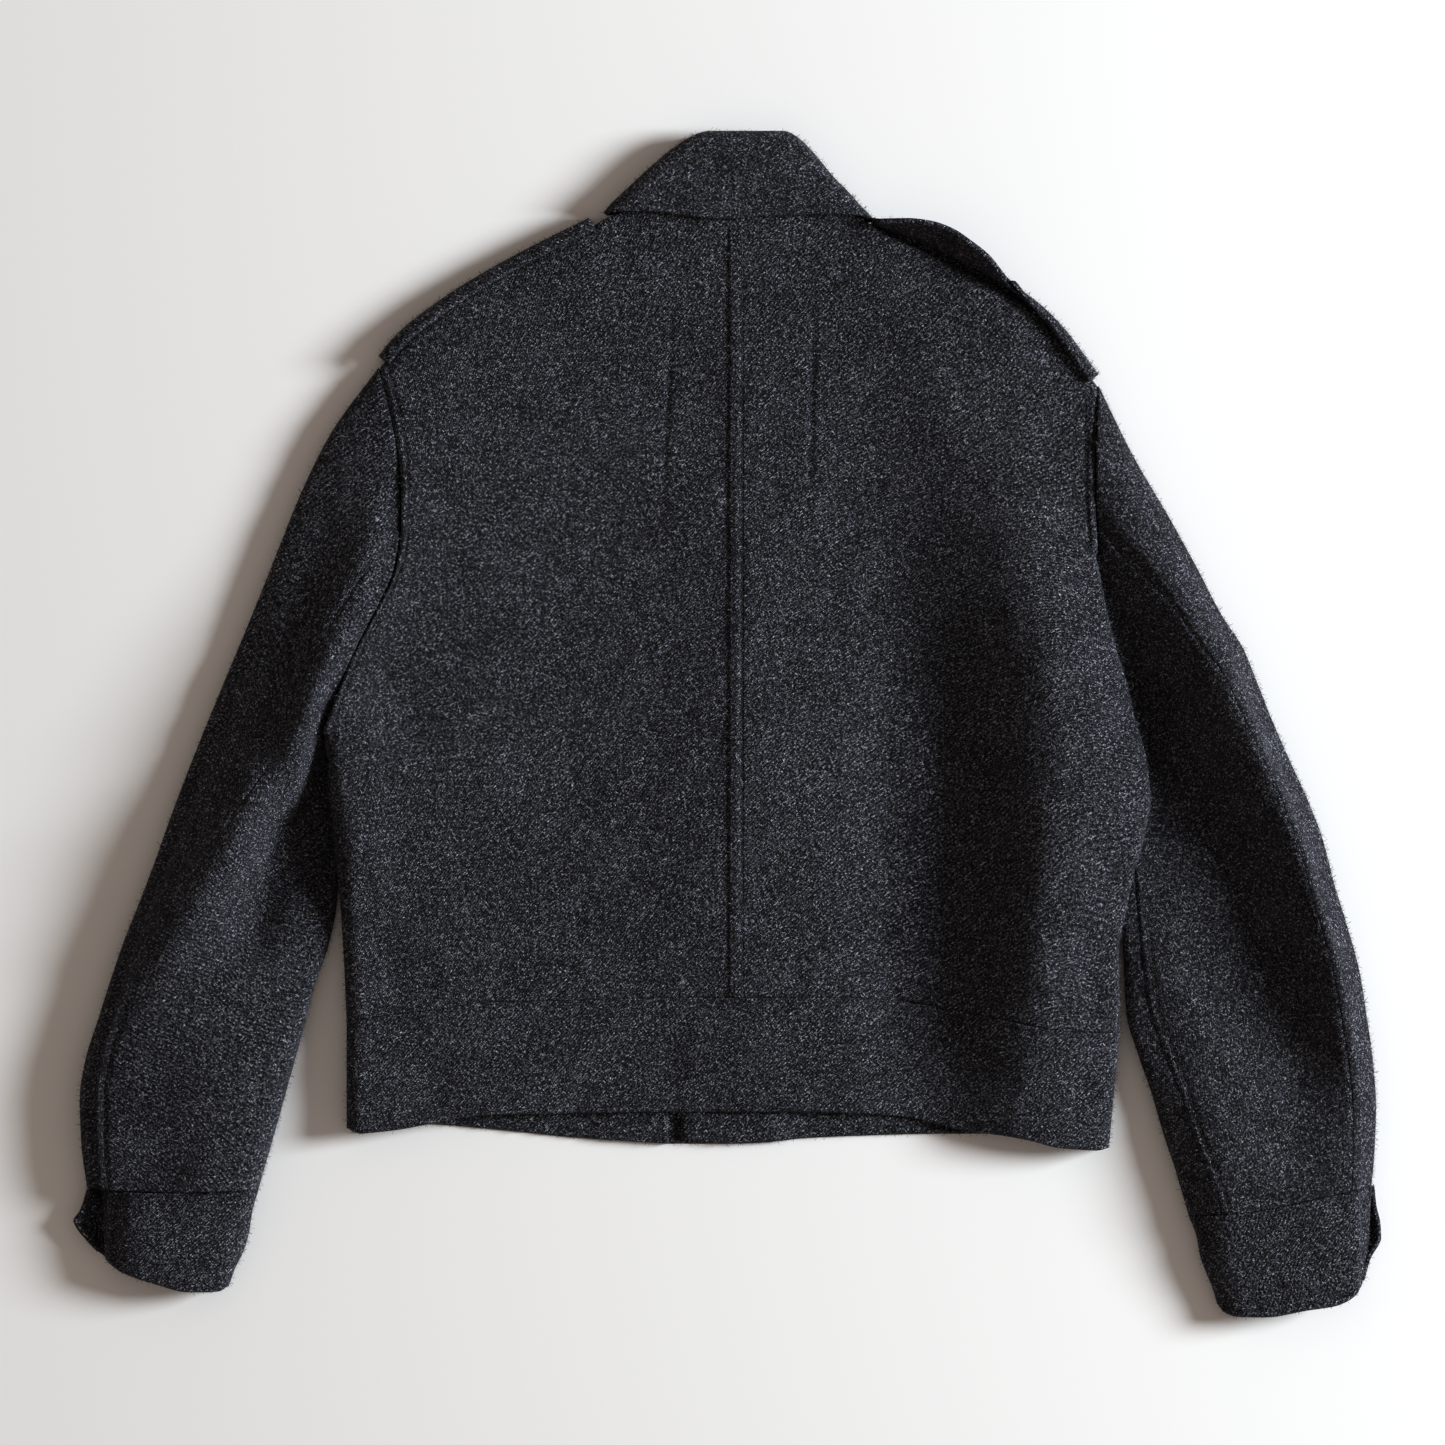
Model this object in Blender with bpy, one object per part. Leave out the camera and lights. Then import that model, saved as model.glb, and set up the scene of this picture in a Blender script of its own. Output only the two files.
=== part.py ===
"""A short wool battledress jacket, laid flat on its front with its back up.

The frame is in metres: +Z up (the back faces up), +Y towards the collar, +X to the viewer's right.
The origin is the middle of the floor under the jacket. The tables below are in millimetres, and
"left" and "right" are the viewer's. Every piece is a wall of cloth: a grid of skin points, and the
same grid one cloth thickness behind it. At a seam the wall ends upright, so that two pieces stand
a seam's gap apart, and at a free side it rolls round to the floor.
"""

from typing import NamedTuple

import bpy
import numpy as np

MM = 0.001

# Cloth
CLOTH = 2.5  # heavy wool of the body and the sleeves
BAND = 3.0  # the same cloth turned double and pressed: waistband and cuffs
FALL = 3.5  # collar fall
STRAP = 3.5  # shoulder straps
SEAM_GAP = 0.3
CUFF_GAP = 0.5
LONG_GAP = 0.6  # along a sleeve's long seams
CHARCOAL = (0.030, 0.031, 0.038, 1.0)
ROUGHNESS = 0.95

# The front fastening, which the back waistband's lower edge leaves in sight
OVERLAP = 30.0  # each front passes the middle by this much
SLOT_LEFT = -39.0  # where the left front's second layer ends
RAMP = 15.0  # width over which the upper front comes down to the floor
LOWER_LAYER = 2.0  # the left waistband's single layer inside the overlap

# The stitched tuck down the middle of the back
TUCK_FOLD = 2.2
TUCK_STITCH = 10.4
TUCK_TOP = 319.0
TUCK_RISE = 2.2
TUCK_STEP = 0.9

# How far the left sleeve's under panel goes round below its inner edge
FOREARM_COLUMN = 2

# How soon the left armhole's curve dies out down the sleeve
ARMHOLE_FADE = 4.0

ROLL_STEPS = 5
SHOULDER_ROLL = 7.0
SIDE_INSET = 13.0  # hidden fronts stop this far inside the rolled side
UNDERARM_INSET = 6.0
SHOULDER_CLEAR = 3.6  # and this far inside the shoulder's roll
HIDDEN_GAP = 1.2  # between a hidden front and its waistband
NEAR = 0.03  # step either way that a direction along the top edge is read over
END_BLEND = 0.08  # share of the top edge over which the roll turns to follow the armhole
SLIT = 1.0  # half the opening left under the collar
BAND_DEPTH = 70.0  # waistband, from the waist seam to the hem

# Height that the body's right side rolls down to, by how far down it is: the sleeve, then the floor
OVER_SLEEVE = 9.3
SLEEVE_LEAVES = 140.0
FLOOR_REACHED = 152.0

CUFF_ROWS = (0.0, 0.22, 0.45, 0.66, 0.82, 1.0)
FALL_ROWS = (0.0, 0.05, 0.2, 0.45, 0.7, 0.88, 1.0)
BAND_ROWS = (0.0, 0.33, 0.66, 1.0)
BAND_FRONT_ROWS = (0.0, 0.35, 0.7, 1.0)


class Section(NamedTuple):
    """Heights of a sleeve's upper skin on one line across it, from its left edge to its right."""

    at: float
    left: float
    first_at: float
    first: float
    second_at: float
    second: float
    third_at: float
    third: float
    right: float

    def knots(self):
        """Places across, as shares, and the heights there."""
        places = (0.0, self.first_at, self.second_at, self.third_at, 1.0)
        return places, (self.left, self.first, self.second, self.third, self.right)


class BackSection(NamedTuple):
    """Heights of the back's skin on one line across it. Trough and ridge are the fold at the right."""

    at: float
    left: float
    flank: float
    left_back: float
    centre: float
    right_back: float
    trough_at: float
    trough: float
    ridge_at: float
    ridge: float
    right: float

    def knots(self):
        """Places across, as shares, and the heights there."""
        places = (0.0, 0.12, 0.35, 0.5, 0.68, self.trough_at, self.ridge_at, 1.0)
        heights = (self.left, self.flank, self.left_back, self.centre, self.right_back)
        return places, heights + (self.trough, self.ridge, self.right)


class Place(NamedTuple):
    """A place on the floor plan."""

    x: float
    y: float


class Station(NamedTuple):
    """One end of a sleeve's section line: the share of the way to the cuff, and the place."""

    at: float
    x: float
    y: float


# Seams and edges of the body
ARMHOLE_LEFT = (
    Place(-229, 235), Place(-224, 218), Place(-220, 199), Place(-216, 178), Place(-214, 154),
    Place(-214, 135), Place(-215, 116), Place(-220, 96), Place(-228, 79), Place(-241, 54),
    Place(-254, 25), Place(-265, -5),
)
SIDE_LEFT = (
    Place(-265, -5), Place(-265.3, -14), Place(-263, -30), Place(-257, -73), Place(-255, -112),
    Place(-253, -150), Place(-251, -195),
)
# From the underarm that the body hides, up to the shoulder
ARMHOLE_RIGHT = (
    Place(249, -9), Place(246, 16), Place(244, 49), Place(242, 82), Place(244, 108),
    Place(243, 128), Place(242, 158), Place(242, 187), Place(243, 207), Place(244, 223),
)
# The right side lies over the sleeve from here on
SIDE_RIGHT = (
    Place(244.6, 104), Place(248, 85), Place(253, 62), Place(263, 28), Place(271, -5),
    Place(278, -33), Place(279, -57), Place(274, -77), Place(265, -110), Place(261, -134),
    Place(258, -154), Place(259, -182), Place(259, -203),
)
FRONT_RIGHT_SIDE = (
    Place(242, 100), Place(239.5, 82), Place(241.5, 49), Place(243.5, 16), Place(246.5, -9),
    Place(249, -44), Place(248, -83), Place(246, -116), Place(244.5, -150), Place(246, -203),
)
TOP_EDGE = (
    Place(-229, 235), Place(-213, 255), Place(-202, 264), Place(-180, 280), Place(-150, 298),
    Place(-116, 316), Place(-88, 329.5), Place(-70, 337), Place(-50, 343), Place(5, 347),
    Place(61, 343), Place(80, 337), Place(95, 329), Place(110, 321), Place(131, 312),
    Place(154, 300), Place(176, 289), Place(193, 279), Place(206, 270), Place(217, 259),
    Place(226, 248), Place(234, 237), Place(244, 223),
)
NECK_LEFT = -84.0
NECK_RIGHT = 92.0
FRONT_NECK = 329.0  # the hidden fronts start here, below the collar's wings
WAIST_SEAM = (
    Place(-251, -195), Place(-236, -193), Place(-193, -188), Place(-158, -183), Place(-107, -182),
    Place(-13, -180), Place(79, -180), Place(127, -185), Place(180, -194), Place(226, -202),
    Place(259, -203),
)
HEM_BACK = (
    Place(-251, -266), Place(-240, -270), Place(-222, -268), Place(-193, -263),
    Place(-166, -258), Place(-107, -257), Place(-41, -256), Place(59, -256), Place(114, -259),
    Place(133, -263), Place(163, -269), Place(190, -272), Place(218, -279), Place(241, -281),
    Place(252, -279),
)
HEM_FRONT_LEFT = (
    Place(-241, -265), Place(-193, -264), Place(-166, -266), Place(-124, -271),
    Place(-84, -274), Place(-31, -277), Place(10, -277), Place(30, -276),
)
HEM_FRONT_RIGHT = (
    Place(-30, -274), Place(10, -277), Place(55, -273), Place(109, -271), Place(172, -270),
    Place(242, -275),
)

BACK_SECTIONS = (
    BackSection(0.00, 14, 13.5, 13, 12.5, 13, 0.80, 13, 0.93, 14, 14),
    BackSection(0.10, 16.5, 14, 11.5, 11, 11.5, 0.80, 12.5, 0.93, 16, 18),
    BackSection(0.20, 20, 15.5, 9.5, 9.4, 9.5, 0.80, 11, 0.93, 20, 21),
    BackSection(0.35, 22, 16, 8.6, 9.1, 8.6, 0.79, 9, 0.93, 26, 23),
    BackSection(0.50, 21, 16, 8.4, 9.1, 8.4, 0.79, 8.5, 0.93, 30, 25),
    BackSection(0.65, 20, 16, 8.4, 9.1, 8.4, 0.80, 8.5, 0.925, 31, 25),
    BackSection(0.80, 20, 15, 8.4, 9.1, 8.4, 0.81, 9, 0.925, 29, 24),
    BackSection(1.00, 20, 15, 9.0, 9.1, 9.5, 0.79, 10, 0.915, 23, 20),
)
BAND_SECTIONS = (
    BackSection(0.0, 20, 15, 9.2, 9.2, 9.6, 0.79, 10, 0.915, 23, 20),
    BackSection(1.0, 18, 14, 9.6, 9.3, 10.5, 0.79, 10, 0.90, 17, 17),
)

# Sleeves: edges by station, from the armhole to the cuff's seam
SLEEVE_LEFT_OUTER = (
    Station(0.0, -230, 235), Station(0.03, -248, 214), Station(0.07, -267, 181),
    Station(0.12, -283, 148), Station(0.2, -302, 100), Station(0.28, -323, 49),
    Station(0.38, -345, -4), Station(0.47, -363, -50), Station(0.58, -382, -103),
    Station(0.68, -400, -149), Station(0.77, -414, -192), Station(0.84, -424, -225),
    Station(0.89, -427, -248), Station(0.94, -426, -275), Station(1.0, -422, -306),
)
SLEEVE_LEFT_INNER = (
    Station(0.0, -266, -5), Station(0.055, -268, -10), Station(0.12, -268.3, -16),
    Station(0.3, -264.5, -32), Station(0.5, -259.5, -73),
    Station(0.6, -258, -105), Station(0.68, -258.5, -126), Station(0.74, -265, -154),
    Station(0.8, -274, -180), Station(0.86, -281, -213), Station(0.91, -290, -240),
    Station(0.95, -299, -275), Station(1.0, -308, -306),
)
SLEEVE_RIGHT_OUTER = (
    Station(0.0, 245, 223), Station(0.03, 257, 197), Station(0.07, 275, 164),
    Station(0.15, 304, 115), Station(0.2, 320, 82), Station(0.28, 341, 49),
    Station(0.36, 354, 16), Station(0.43, 368, -17), Station(0.5, 383, -50),
    Station(0.57, 395, -83), Station(0.63, 403, -116), Station(0.7, 414, -149),
    Station(0.76, 420, -182), Station(0.82, 425, -215), Station(0.88, 428, -248),
    Station(0.94, 427, -281), Station(1.0, 425, -304),
)
SLEEVE_RIGHT_INNER = (
    Station(0.0, 249.5, -9), Station(0.3, 255, -44), Station(0.5, 258, -83),
    Station(0.57, 259.5, -116), Station(0.64, 261, -149), Station(0.7, 262.5, -182),
    Station(0.74, 264, -199), Station(0.8, 275, -228), Station(0.88, 286, -266),
    Station(0.94, 294, -290), Station(1.0, 304, -324),
)
CUFF_SEAM_LEFT = (Place(-422, -306), Place(-365, -308), Place(-308, -306))
CUFF_SEAM_RIGHT = (Place(304, -324), Place(342, -321), Place(391, -311), Place(425, -304))

SLEEVE_LEFT_SECTIONS = (
    Section(0.00, 14, 0.30, 21, 0.62, 34, 0.85, 28, 16),
    Section(0.20, 15, 0.33, 25, 0.66, 38, 0.86, 24, 14),
    Section(0.35, 16, 0.35, 28, 0.70, 40, 0.84, 15, 12),
    Section(0.50, 18, 0.22, 30, 0.46, 40, 0.64, 15, 11),
    Section(0.65, 20, 0.12, 28, 0.28, 36, 0.55, 20, 12),
    Section(0.80, 24, 0.10, 30, 0.25, 34, 0.65, 27, 17),
    Section(0.90, 26, 0.10, 30, 0.25, 33, 0.70, 28, 21),
    Section(1.00, 22, 0.10, 26, 0.30, 29, 0.75, 26, 20),
)
SLEEVE_RIGHT_SECTIONS = (
    Section(0.00, 8, 0.46, 8.5, 0.56, 16, 0.72, 22, 14),
    Section(0.20, 8, 0.38, 8.7, 0.60, 20, 0.84, 33, 22),
    Section(0.35, 8, 0.26, 8.7, 0.55, 25, 0.85, 42, 26),
    Section(0.50, 8, 0.22, 8.7, 0.55, 27, 0.86, 46, 30),
    Section(0.65, 9, 0.46, 15, 0.70, 30, 0.90, 44, 30),
    Section(0.80, 12, 0.50, 18, 0.70, 24, 0.90, 36, 28),
    Section(0.90, 13, 0.30, 22, 0.60, 25, 0.88, 31, 25),
    Section(1.00, 14, 0.20, 22, 0.60, 26, 0.88, 27, 22),
)
CUFF_LEFT_SECTIONS = (
    Section(0.0, 22, 0.10, 26, 0.30, 29, 0.75, 26, 20),
    Section(1.0, 16, 0.10, 19, 0.40, 22, 0.75, 20, 15),
)
CUFF_RIGHT_SECTIONS = (
    Section(0.0, 14, 0.20, 22, 0.60, 26, 0.88, 27, 22),
    Section(1.0, 12, 0.20, 17, 0.60, 20, 0.88, 20, 15),
)


class SeamPlace(NamedTuple):
    """Where a long seam crosses a sleeve's section: share of the way down, share across."""

    at: float
    across: float


HINDARM_LEFT = (
    SeamPlace(0.0, 0.45), SeamPlace(0.2, 0.48), SeamPlace(0.35, 0.50), SeamPlace(0.5, 0.34),
    SeamPlace(0.65, 0.15), SeamPlace(0.8, 0.12), SeamPlace(1.0, 0.13),
)
HINDARM_RIGHT = (
    SeamPlace(0.0, 0.60), SeamPlace(0.2, 0.80), SeamPlace(0.35, 0.85), SeamPlace(0.5, 0.87),
    SeamPlace(0.8, 0.88), SeamPlace(1.0, 0.88),
)
FOREARM_RIGHT = (
    SeamPlace(0.0, 0.07), SeamPlace(0.6, 0.08), SeamPlace(0.8, 0.12), SeamPlace(0.9, 0.14),
    SeamPlace(1.0, 0.18),
)

CUFF_LEFT_BOTTOM = (
    Place(-410, -352), Place(-402, -359), Place(-391, -364), Place(-375, -369),
    Place(-354, -374), Place(-336, -374), Place(-328, -370),
)
CUFF_LEFT_OUTER = (Place(-411, -306), Place(-411, -331), Place(-410, -352))
CUFF_LEFT_INNER = (
    Place(-308, -306), Place(-312, -319), Place(-315, -337), Place(-319, -349),
    Place(-325, -361), Place(-328, -370),
)
CUFF_RIGHT_BOTTOM = (
    Place(323, -382), Place(328, -388), Place(338, -390.6), Place(354, -390.6),
    Place(382, -386), Place(401, -383), Place(414, -376), Place(419, -368),
)
CUFF_RIGHT_INNER = (
    Place(304, -324), Place(308, -333), Place(312, -352), Place(320, -372), Place(323, -382),
)
CUFF_RIGHT_OUTER = (
    Place(425, -304), Place(424, -321), Place(423, -341), Place(420, -358), Place(419, -368),
)


class TabReach(NamedTuple):
    """How far a cuff's loose tab stands out, by share of the cuff's height."""

    at: float
    reach: float


TAB_LEFT = (
    TabReach(0.0, 11), TabReach(0.35, 15), TabReach(0.75, 23), TabReach(0.9, 19),
    TabReach(1.0, 9),
)
TAB_RIGHT = (
    TabReach(0.0, 1.5), TabReach(0.3, 5), TabReach(0.66, 11.5), TabReach(0.78, 7), TabReach(1.0, 2),
)
TAB_OUT = (0.35, 0.7, 1.0)  # shares of the reach
TAB_UP = (1.0, 5.0, 11.0)  # heights there

# Collar, from its top fold to its lower edge
COLLAR_TOP = (Place(-24, 387), Place(-13, 390.6), Place(38, 390.6), Place(49, 385))
COLLAR_EDGE = (
    Place(-82, 337), Place(-75, 337), Place(-53, 337), Place(-34, 335), Place(-19, 333),
    Place(-4, 332), Place(26, 334), Place(57, 335), Place(81, 335), Place(96, 332),
)
COLLAR_LEFT = (
    Place(-24, 387), Place(-34, 381), Place(-50, 368), Place(-65, 354), Place(-73, 347),
    Place(-82, 337),
)
COLLAR_RIGHT = (
    Place(49, 385), Place(57, 377), Place(67, 364), Place(78, 354), Place(85, 345),
    Place(96, 332),
)
FALL_SECTIONS = (
    Section(0.00, 13, 0.2, 14, 0.5, 14, 0.8, 14, 13),
    Section(0.06, 17, 0.2, 18, 0.5, 18, 0.8, 18, 17),
    Section(0.30, 19, 0.2, 20.5, 0.5, 20.5, 0.8, 20, 19),
    Section(0.70, 20, 0.2, 20, 0.5, 19.5, 0.8, 19, 18.5),
    Section(1.00, 21, 0.2, 18.5, 0.5, 17.4, 0.8, 17.4, 17.5),
)
STAND_INSET = 5.0
STAND_TOP = 4.5  # how far below the top fold the stand begins
STAND_FLOOR = FALL + SEAM_GAP
STAND_SECTIONS = (
    Section(0.0, 11, 0.2, 12, 0.5, 12, 0.8, 12, 11),
    Section(0.4, 12, 0.2, 14, 0.5, 14, 0.8, 14, 12),
    Section(1.0, 12, 0.2, 12.7, 0.5, 12.7, 0.8, 12.7, 12),
)
STAND_GAP = 1.2  # under the fall, where the stand meets the neckline

# Shoulder straps: a section from the lip on the back to the foot at the floor, out from the shoulder


class StrapPoint(NamedTuple):
    """A point of a strap's section: distance out from the shoulder's edge, and height."""

    out: float
    up: float


STRAP_WRAPPED = (
    StrapPoint(-4.6, 17.8), StrapPoint(-1.0, 18.6), StrapPoint(3.0, 16.0), StrapPoint(4.8, 9.0),
    StrapPoint(4.6, 1.0),
)
STRAP_LEANING = (
    StrapPoint(20.0, 29.0), StrapPoint(16.6, 22.5), StrapPoint(13.0, 15.5),
    StrapPoint(9.0, 8.0), StrapPoint(5.6, 1.0),
)


class StrapStation(NamedTuple):
    """A station along a strap: share of its length, and how far it leans out, from 0 to 1."""

    at: float
    lean: float


STRAP_LEFT_LINE = (
    Place(-88.5, 329.5), Place(-116, 316), Place(-150, 298), Place(-180, 280), Place(-202, 264),
    Place(-213, 255), Place(-226, 239.5),
)
STRAP_RIGHT_LINE = (
    Place(99.5, 326.5), Place(110, 321), Place(131, 312), Place(154, 300), Place(176, 289),
    Place(193, 279), Place(206, 270), Place(217, 259), Place(226, 248), Place(234, 237),
    Place(241, 227.5),
)
STRAP_LEFT_STATIONS = (StrapStation(0.0, 0.0), StrapStation(1.0, 0.0))
STRAP_RIGHT_STATIONS = (
    StrapStation(0.0, 0.45), StrapStation(0.12, 0.85), StrapStation(0.25, 1.0),
    StrapStation(0.4, 0.85), StrapStation(0.55, 0.4), StrapStation(0.7, 0.12),
    StrapStation(1.0, 0.0),
)
STRAP_ROWS = 13

# Grid counts
SLEEVE_ROWS = 19
OUTER_COLUMNS = 5  # left sleeve, outer edge to hindarm seam
UNDER_COLUMNS = 6  # left sleeve, hindarm seam to inner edge
INNER_STRIP_COLUMNS = 1  # right sleeve, inner edge to forearm seam
MIDDLE_COLUMNS = 7  # right sleeve, forearm seam to hindarm seam
RIDGE_COLUMNS = 4  # right sleeve, hindarm seam to outer edge
SEAM_ROWS_RIGHT = 6  # rows of the body that meet the right sleeve at a seam in sight
SIDE_ROWS = 6
BACK_COLUMNS = (
    0.0, 0.05, 0.10, 0.17, 0.24, 0.31, 0.38, 0.44, 0.56, 0.62, 0.68, 0.74, 0.785, 0.83,
    0.87, 0.91, 0.95, 1.0,
)
TUCK_AFTER = 8  # the tuck's four columns come after this many of the back's


def hermite(start, end, start_slope, end_slope, share):
    """Cubic between two values with the slopes given per whole span."""
    square = share * share
    cube = square * share
    return (
        (2 * cube - 3 * square + 1) * start
        + (cube - 2 * square + share) * start_slope
        + (3 * square - 2 * cube) * end
        + (cube - square) * end_slope
    )


def knot_slopes(knots, values):
    """Slope at each knot, flat at a turning point, so that the curve never passes its knots."""
    widths = np.diff(knots).reshape((-1,) + (1,) * (values.ndim - 1))
    slopes = np.diff(values, axis=0) / widths
    tangents = np.zeros_like(values)
    tangents[0], tangents[-1] = slopes[0], slopes[-1]
    before, after = slopes[:-1], slopes[1:]
    same_way = before * after > 0
    total = np.where(same_way, before + after, 1.0)
    tangents[1:-1] = np.where(same_way, 2 * before * after / total, 0.0)
    return tangents


def spans(knots, at):
    """Index of the span that holds each value, and its share of that span."""
    held = np.clip(at, knots[0], knots[-1])
    index = np.clip(np.searchsorted(knots, held, side="right") - 1, 0, len(knots) - 2)
    return index, (held - knots[index]) / (knots[index + 1] - knots[index])


def eased(knots, values, at):
    """Smooth curve through the values at the knots, read at each place in `at`."""
    knots, values, at = np.asarray(knots, float), np.asarray(values, float), np.asarray(at, float)
    tangents = knot_slopes(knots, values)
    index, share = spans(knots, at)
    width = knots[index + 1] - knots[index]
    extra = (1,) * (values.ndim - 1)
    share, width = share.reshape(share.shape + extra), width.reshape(width.shape + extra)
    slopes = tangents[index] * width, tangents[index + 1] * width
    return hermite(values[index], values[index + 1], *slopes, share)


def blended(knots, layers, at):
    """The same between whole layers of values: each element is read at its own place in `at`."""
    knots = np.asarray(knots, float)
    tangents = knot_slopes(knots, layers)
    index, share = spans(knots, at)
    width = knots[index + 1] - knots[index]

    def pick(stack, which):
        return np.take_along_axis(stack, which[None], axis=0)[0]

    slopes = pick(tangents, index) * width, pick(tangents, index + 1) * width
    return hermite(pick(layers, index), pick(layers, index + 1), *slopes, share)


def along(points):
    """A curve through the points, read by share of its length."""
    points = np.array(points, float)
    lengths = np.linalg.norm(np.diff(points, axis=0), axis=1)
    knots = np.concatenate([[0.0], np.cumsum(lengths)]) / lengths.sum()
    return lambda shares: eased(knots, points, shares)


def by_x(points):
    """A curve through the points, read by share of its width."""
    points = np.array(points, float)

    def curve(shares):
        x = points[0, 0] + np.asarray(shares, float) * (points[-1, 0] - points[0, 0])
        return np.stack([x, eased(points[:, 0], points[:, 1], x)], axis=-1)

    return curve


def by_station(stations):
    """An edge read by share of the way from armhole to cuff."""
    table = np.array(stations, float)
    return lambda shares: eased(table[:, 0], table[:, 1:], shares)


def through(shares, points):
    """A curve made of straight runs between points at the given shares."""
    points = np.asarray(points, float)

    def curve(at):
        return np.stack([np.interp(at, shares, points[:, axis]) for axis in (0, 1)], axis=-1)

    return curve


def unit(vectors):
    """The vectors at length one."""
    return vectors / np.maximum(np.linalg.norm(vectors, axis=-1, keepdims=True), 1e-9)


def sideways(directions):
    """Plan directions turned a quarter to the left."""
    return np.stack([-directions[..., 1], directions[..., 0]], axis=-1)


class Heights:
    """Height of the skin at any place of a piece, from a table with a row for each section."""

    def __init__(self, sections):
        self.sections = sections

    def at(self, down, across):
        """Height at shares down and across, which are arrays of one shape."""
        layers = np.stack([eased(*section.knots(), across) for section in self.sections])
        return blended([section.at for section in self.sections], layers, down)


class Plan:
    """A piece's outline on the floor: four edge curves, and every place between them.

    A higher `fade` lets the curve of the top and bottom edges die out sooner inside the piece.
    """

    def __init__(self, top, bottom, left, right, fade=1.0):
        self.top, self.bottom, self.left, self.right = top, bottom, left, right
        self.fade = fade

    def place(self, down, across):
        """Places at shares down and across, which are arrays of one shape."""
        down, across = np.broadcast_arrays(down, across)
        s, w = down[..., None], across[..., None]
        ends = np.array([0.0, 1.0])
        (top_left, top_right), (low_left, low_right) = self.top(ends), self.bottom(ends)
        ruled = (1 - w) * self.left(down) + w * self.right(down)
        bow = self.top(across) - (1 - w) * top_left - w * top_right
        sag = self.bottom(across) - (1 - w) * low_left - w * low_right
        return ruled + (1 - s) ** self.fade * bow + s**self.fade * sag

    def width(self, down):
        """Length of the section line at each share down."""
        across = np.linspace(0, 1, 25)
        points = self.place(down[:, None], across[None])
        return np.linalg.norm(np.diff(points, axis=1), axis=-1).sum(axis=1)

    def directions(self, down, across):
        """Plan directions across the piece and down it at each place."""
        step = 0.002
        right, left = np.minimum(across + step, 1), np.maximum(across - step, 0)
        low, high = np.minimum(down + step, 1), np.maximum(down - step, 0)
        return (
            unit(self.place(down, right) - self.place(down, left)),
            unit(self.place(low, across) - self.place(high, across)),
        )


def joined(curve, start):
    """The curve with its start moved to a place, and its end left where it is."""
    return lambda at: curve(at) + (1 - at)[..., None] * (np.array(start) - curve(np.zeros(1))[0])


class Tube:
    """A flattened tube: its upper skin at the table's heights, its lower skin on the floor."""

    def __init__(self, plan, sections, down, floor=0.0):
        self.plan, self.heights, self.down, self.floor = plan, Heights(sections), down, floor
        self.length = plan.width(down)
        middle = np.full_like(down, 0.5)
        self.left_roll = (self.heights.at(down, 0 * middle) - floor) / 2
        self.right_roll = (self.heights.at(down, 0 * middle + 1) - floor) / 2
        self.first = self.left_roll / self.length
        self.last = 1 - self.right_roll / self.length

    def upper(self, start, end, count):
        """Shares across and heights on the upper skin, between two shares for each row."""
        across = start[:, None] + (end - start)[:, None] * np.linspace(0, 1, count + 1)
        return across, self.heights.at(np.broadcast_to(self.down[:, None], across.shape), across)

    def lower(self, start, end, count):
        """The same on the lower skin."""
        across = start[:, None] + (end - start)[:, None] * np.linspace(0, 1, count + 1)
        return across, np.full_like(across, self.floor)

    def roll(self, side, start=90.0, end=-90.0):
        """The rounded side, from one angle to another. 90 is on top and -90 is underneath."""
        angles = np.radians(np.linspace(start, end, ROLL_STEPS + 1))[None]
        radius = (self.left_roll if side < 0 else self.right_roll)[:, None]
        inset = radius * (1 - np.cos(angles)) / self.length[:, None]
        height = self.floor + radius + radius * np.sin(angles)
        return (inset if side < 0 else 1 - inset), height

    def skin(self, legs):
        """The skin through legs that join end to end, and its plan directions."""
        joined_legs = [legs[0]] + [(across[:, 1:], height[:, 1:]) for across, height in legs[1:]]
        across = np.concatenate([leg[0] for leg in joined_legs], axis=1)
        height = np.concatenate([leg[1] for leg in joined_legs], axis=1)
        down = np.broadcast_to(self.down[:, None], across.shape)
        points = np.concatenate([self.plan.place(down, across), height[..., None]], axis=-1)
        return points, *self.plan.directions(down, across)

    def wall(self, name, legs, thickness):
        """A wall through legs that are given left to right on the upper skin."""
        skin, across, down = self.skin(legs)
        return wall(name, skin, thickness, across, down)


def in_curtain(normals, directions):
    """Normals laid into the upright plane along the given plan directions."""
    flat = (normals[..., :2] * directions).sum(axis=-1, keepdims=True) * directions
    return unit(np.concatenate([flat, normals[..., 2:]], axis=-1))


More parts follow.
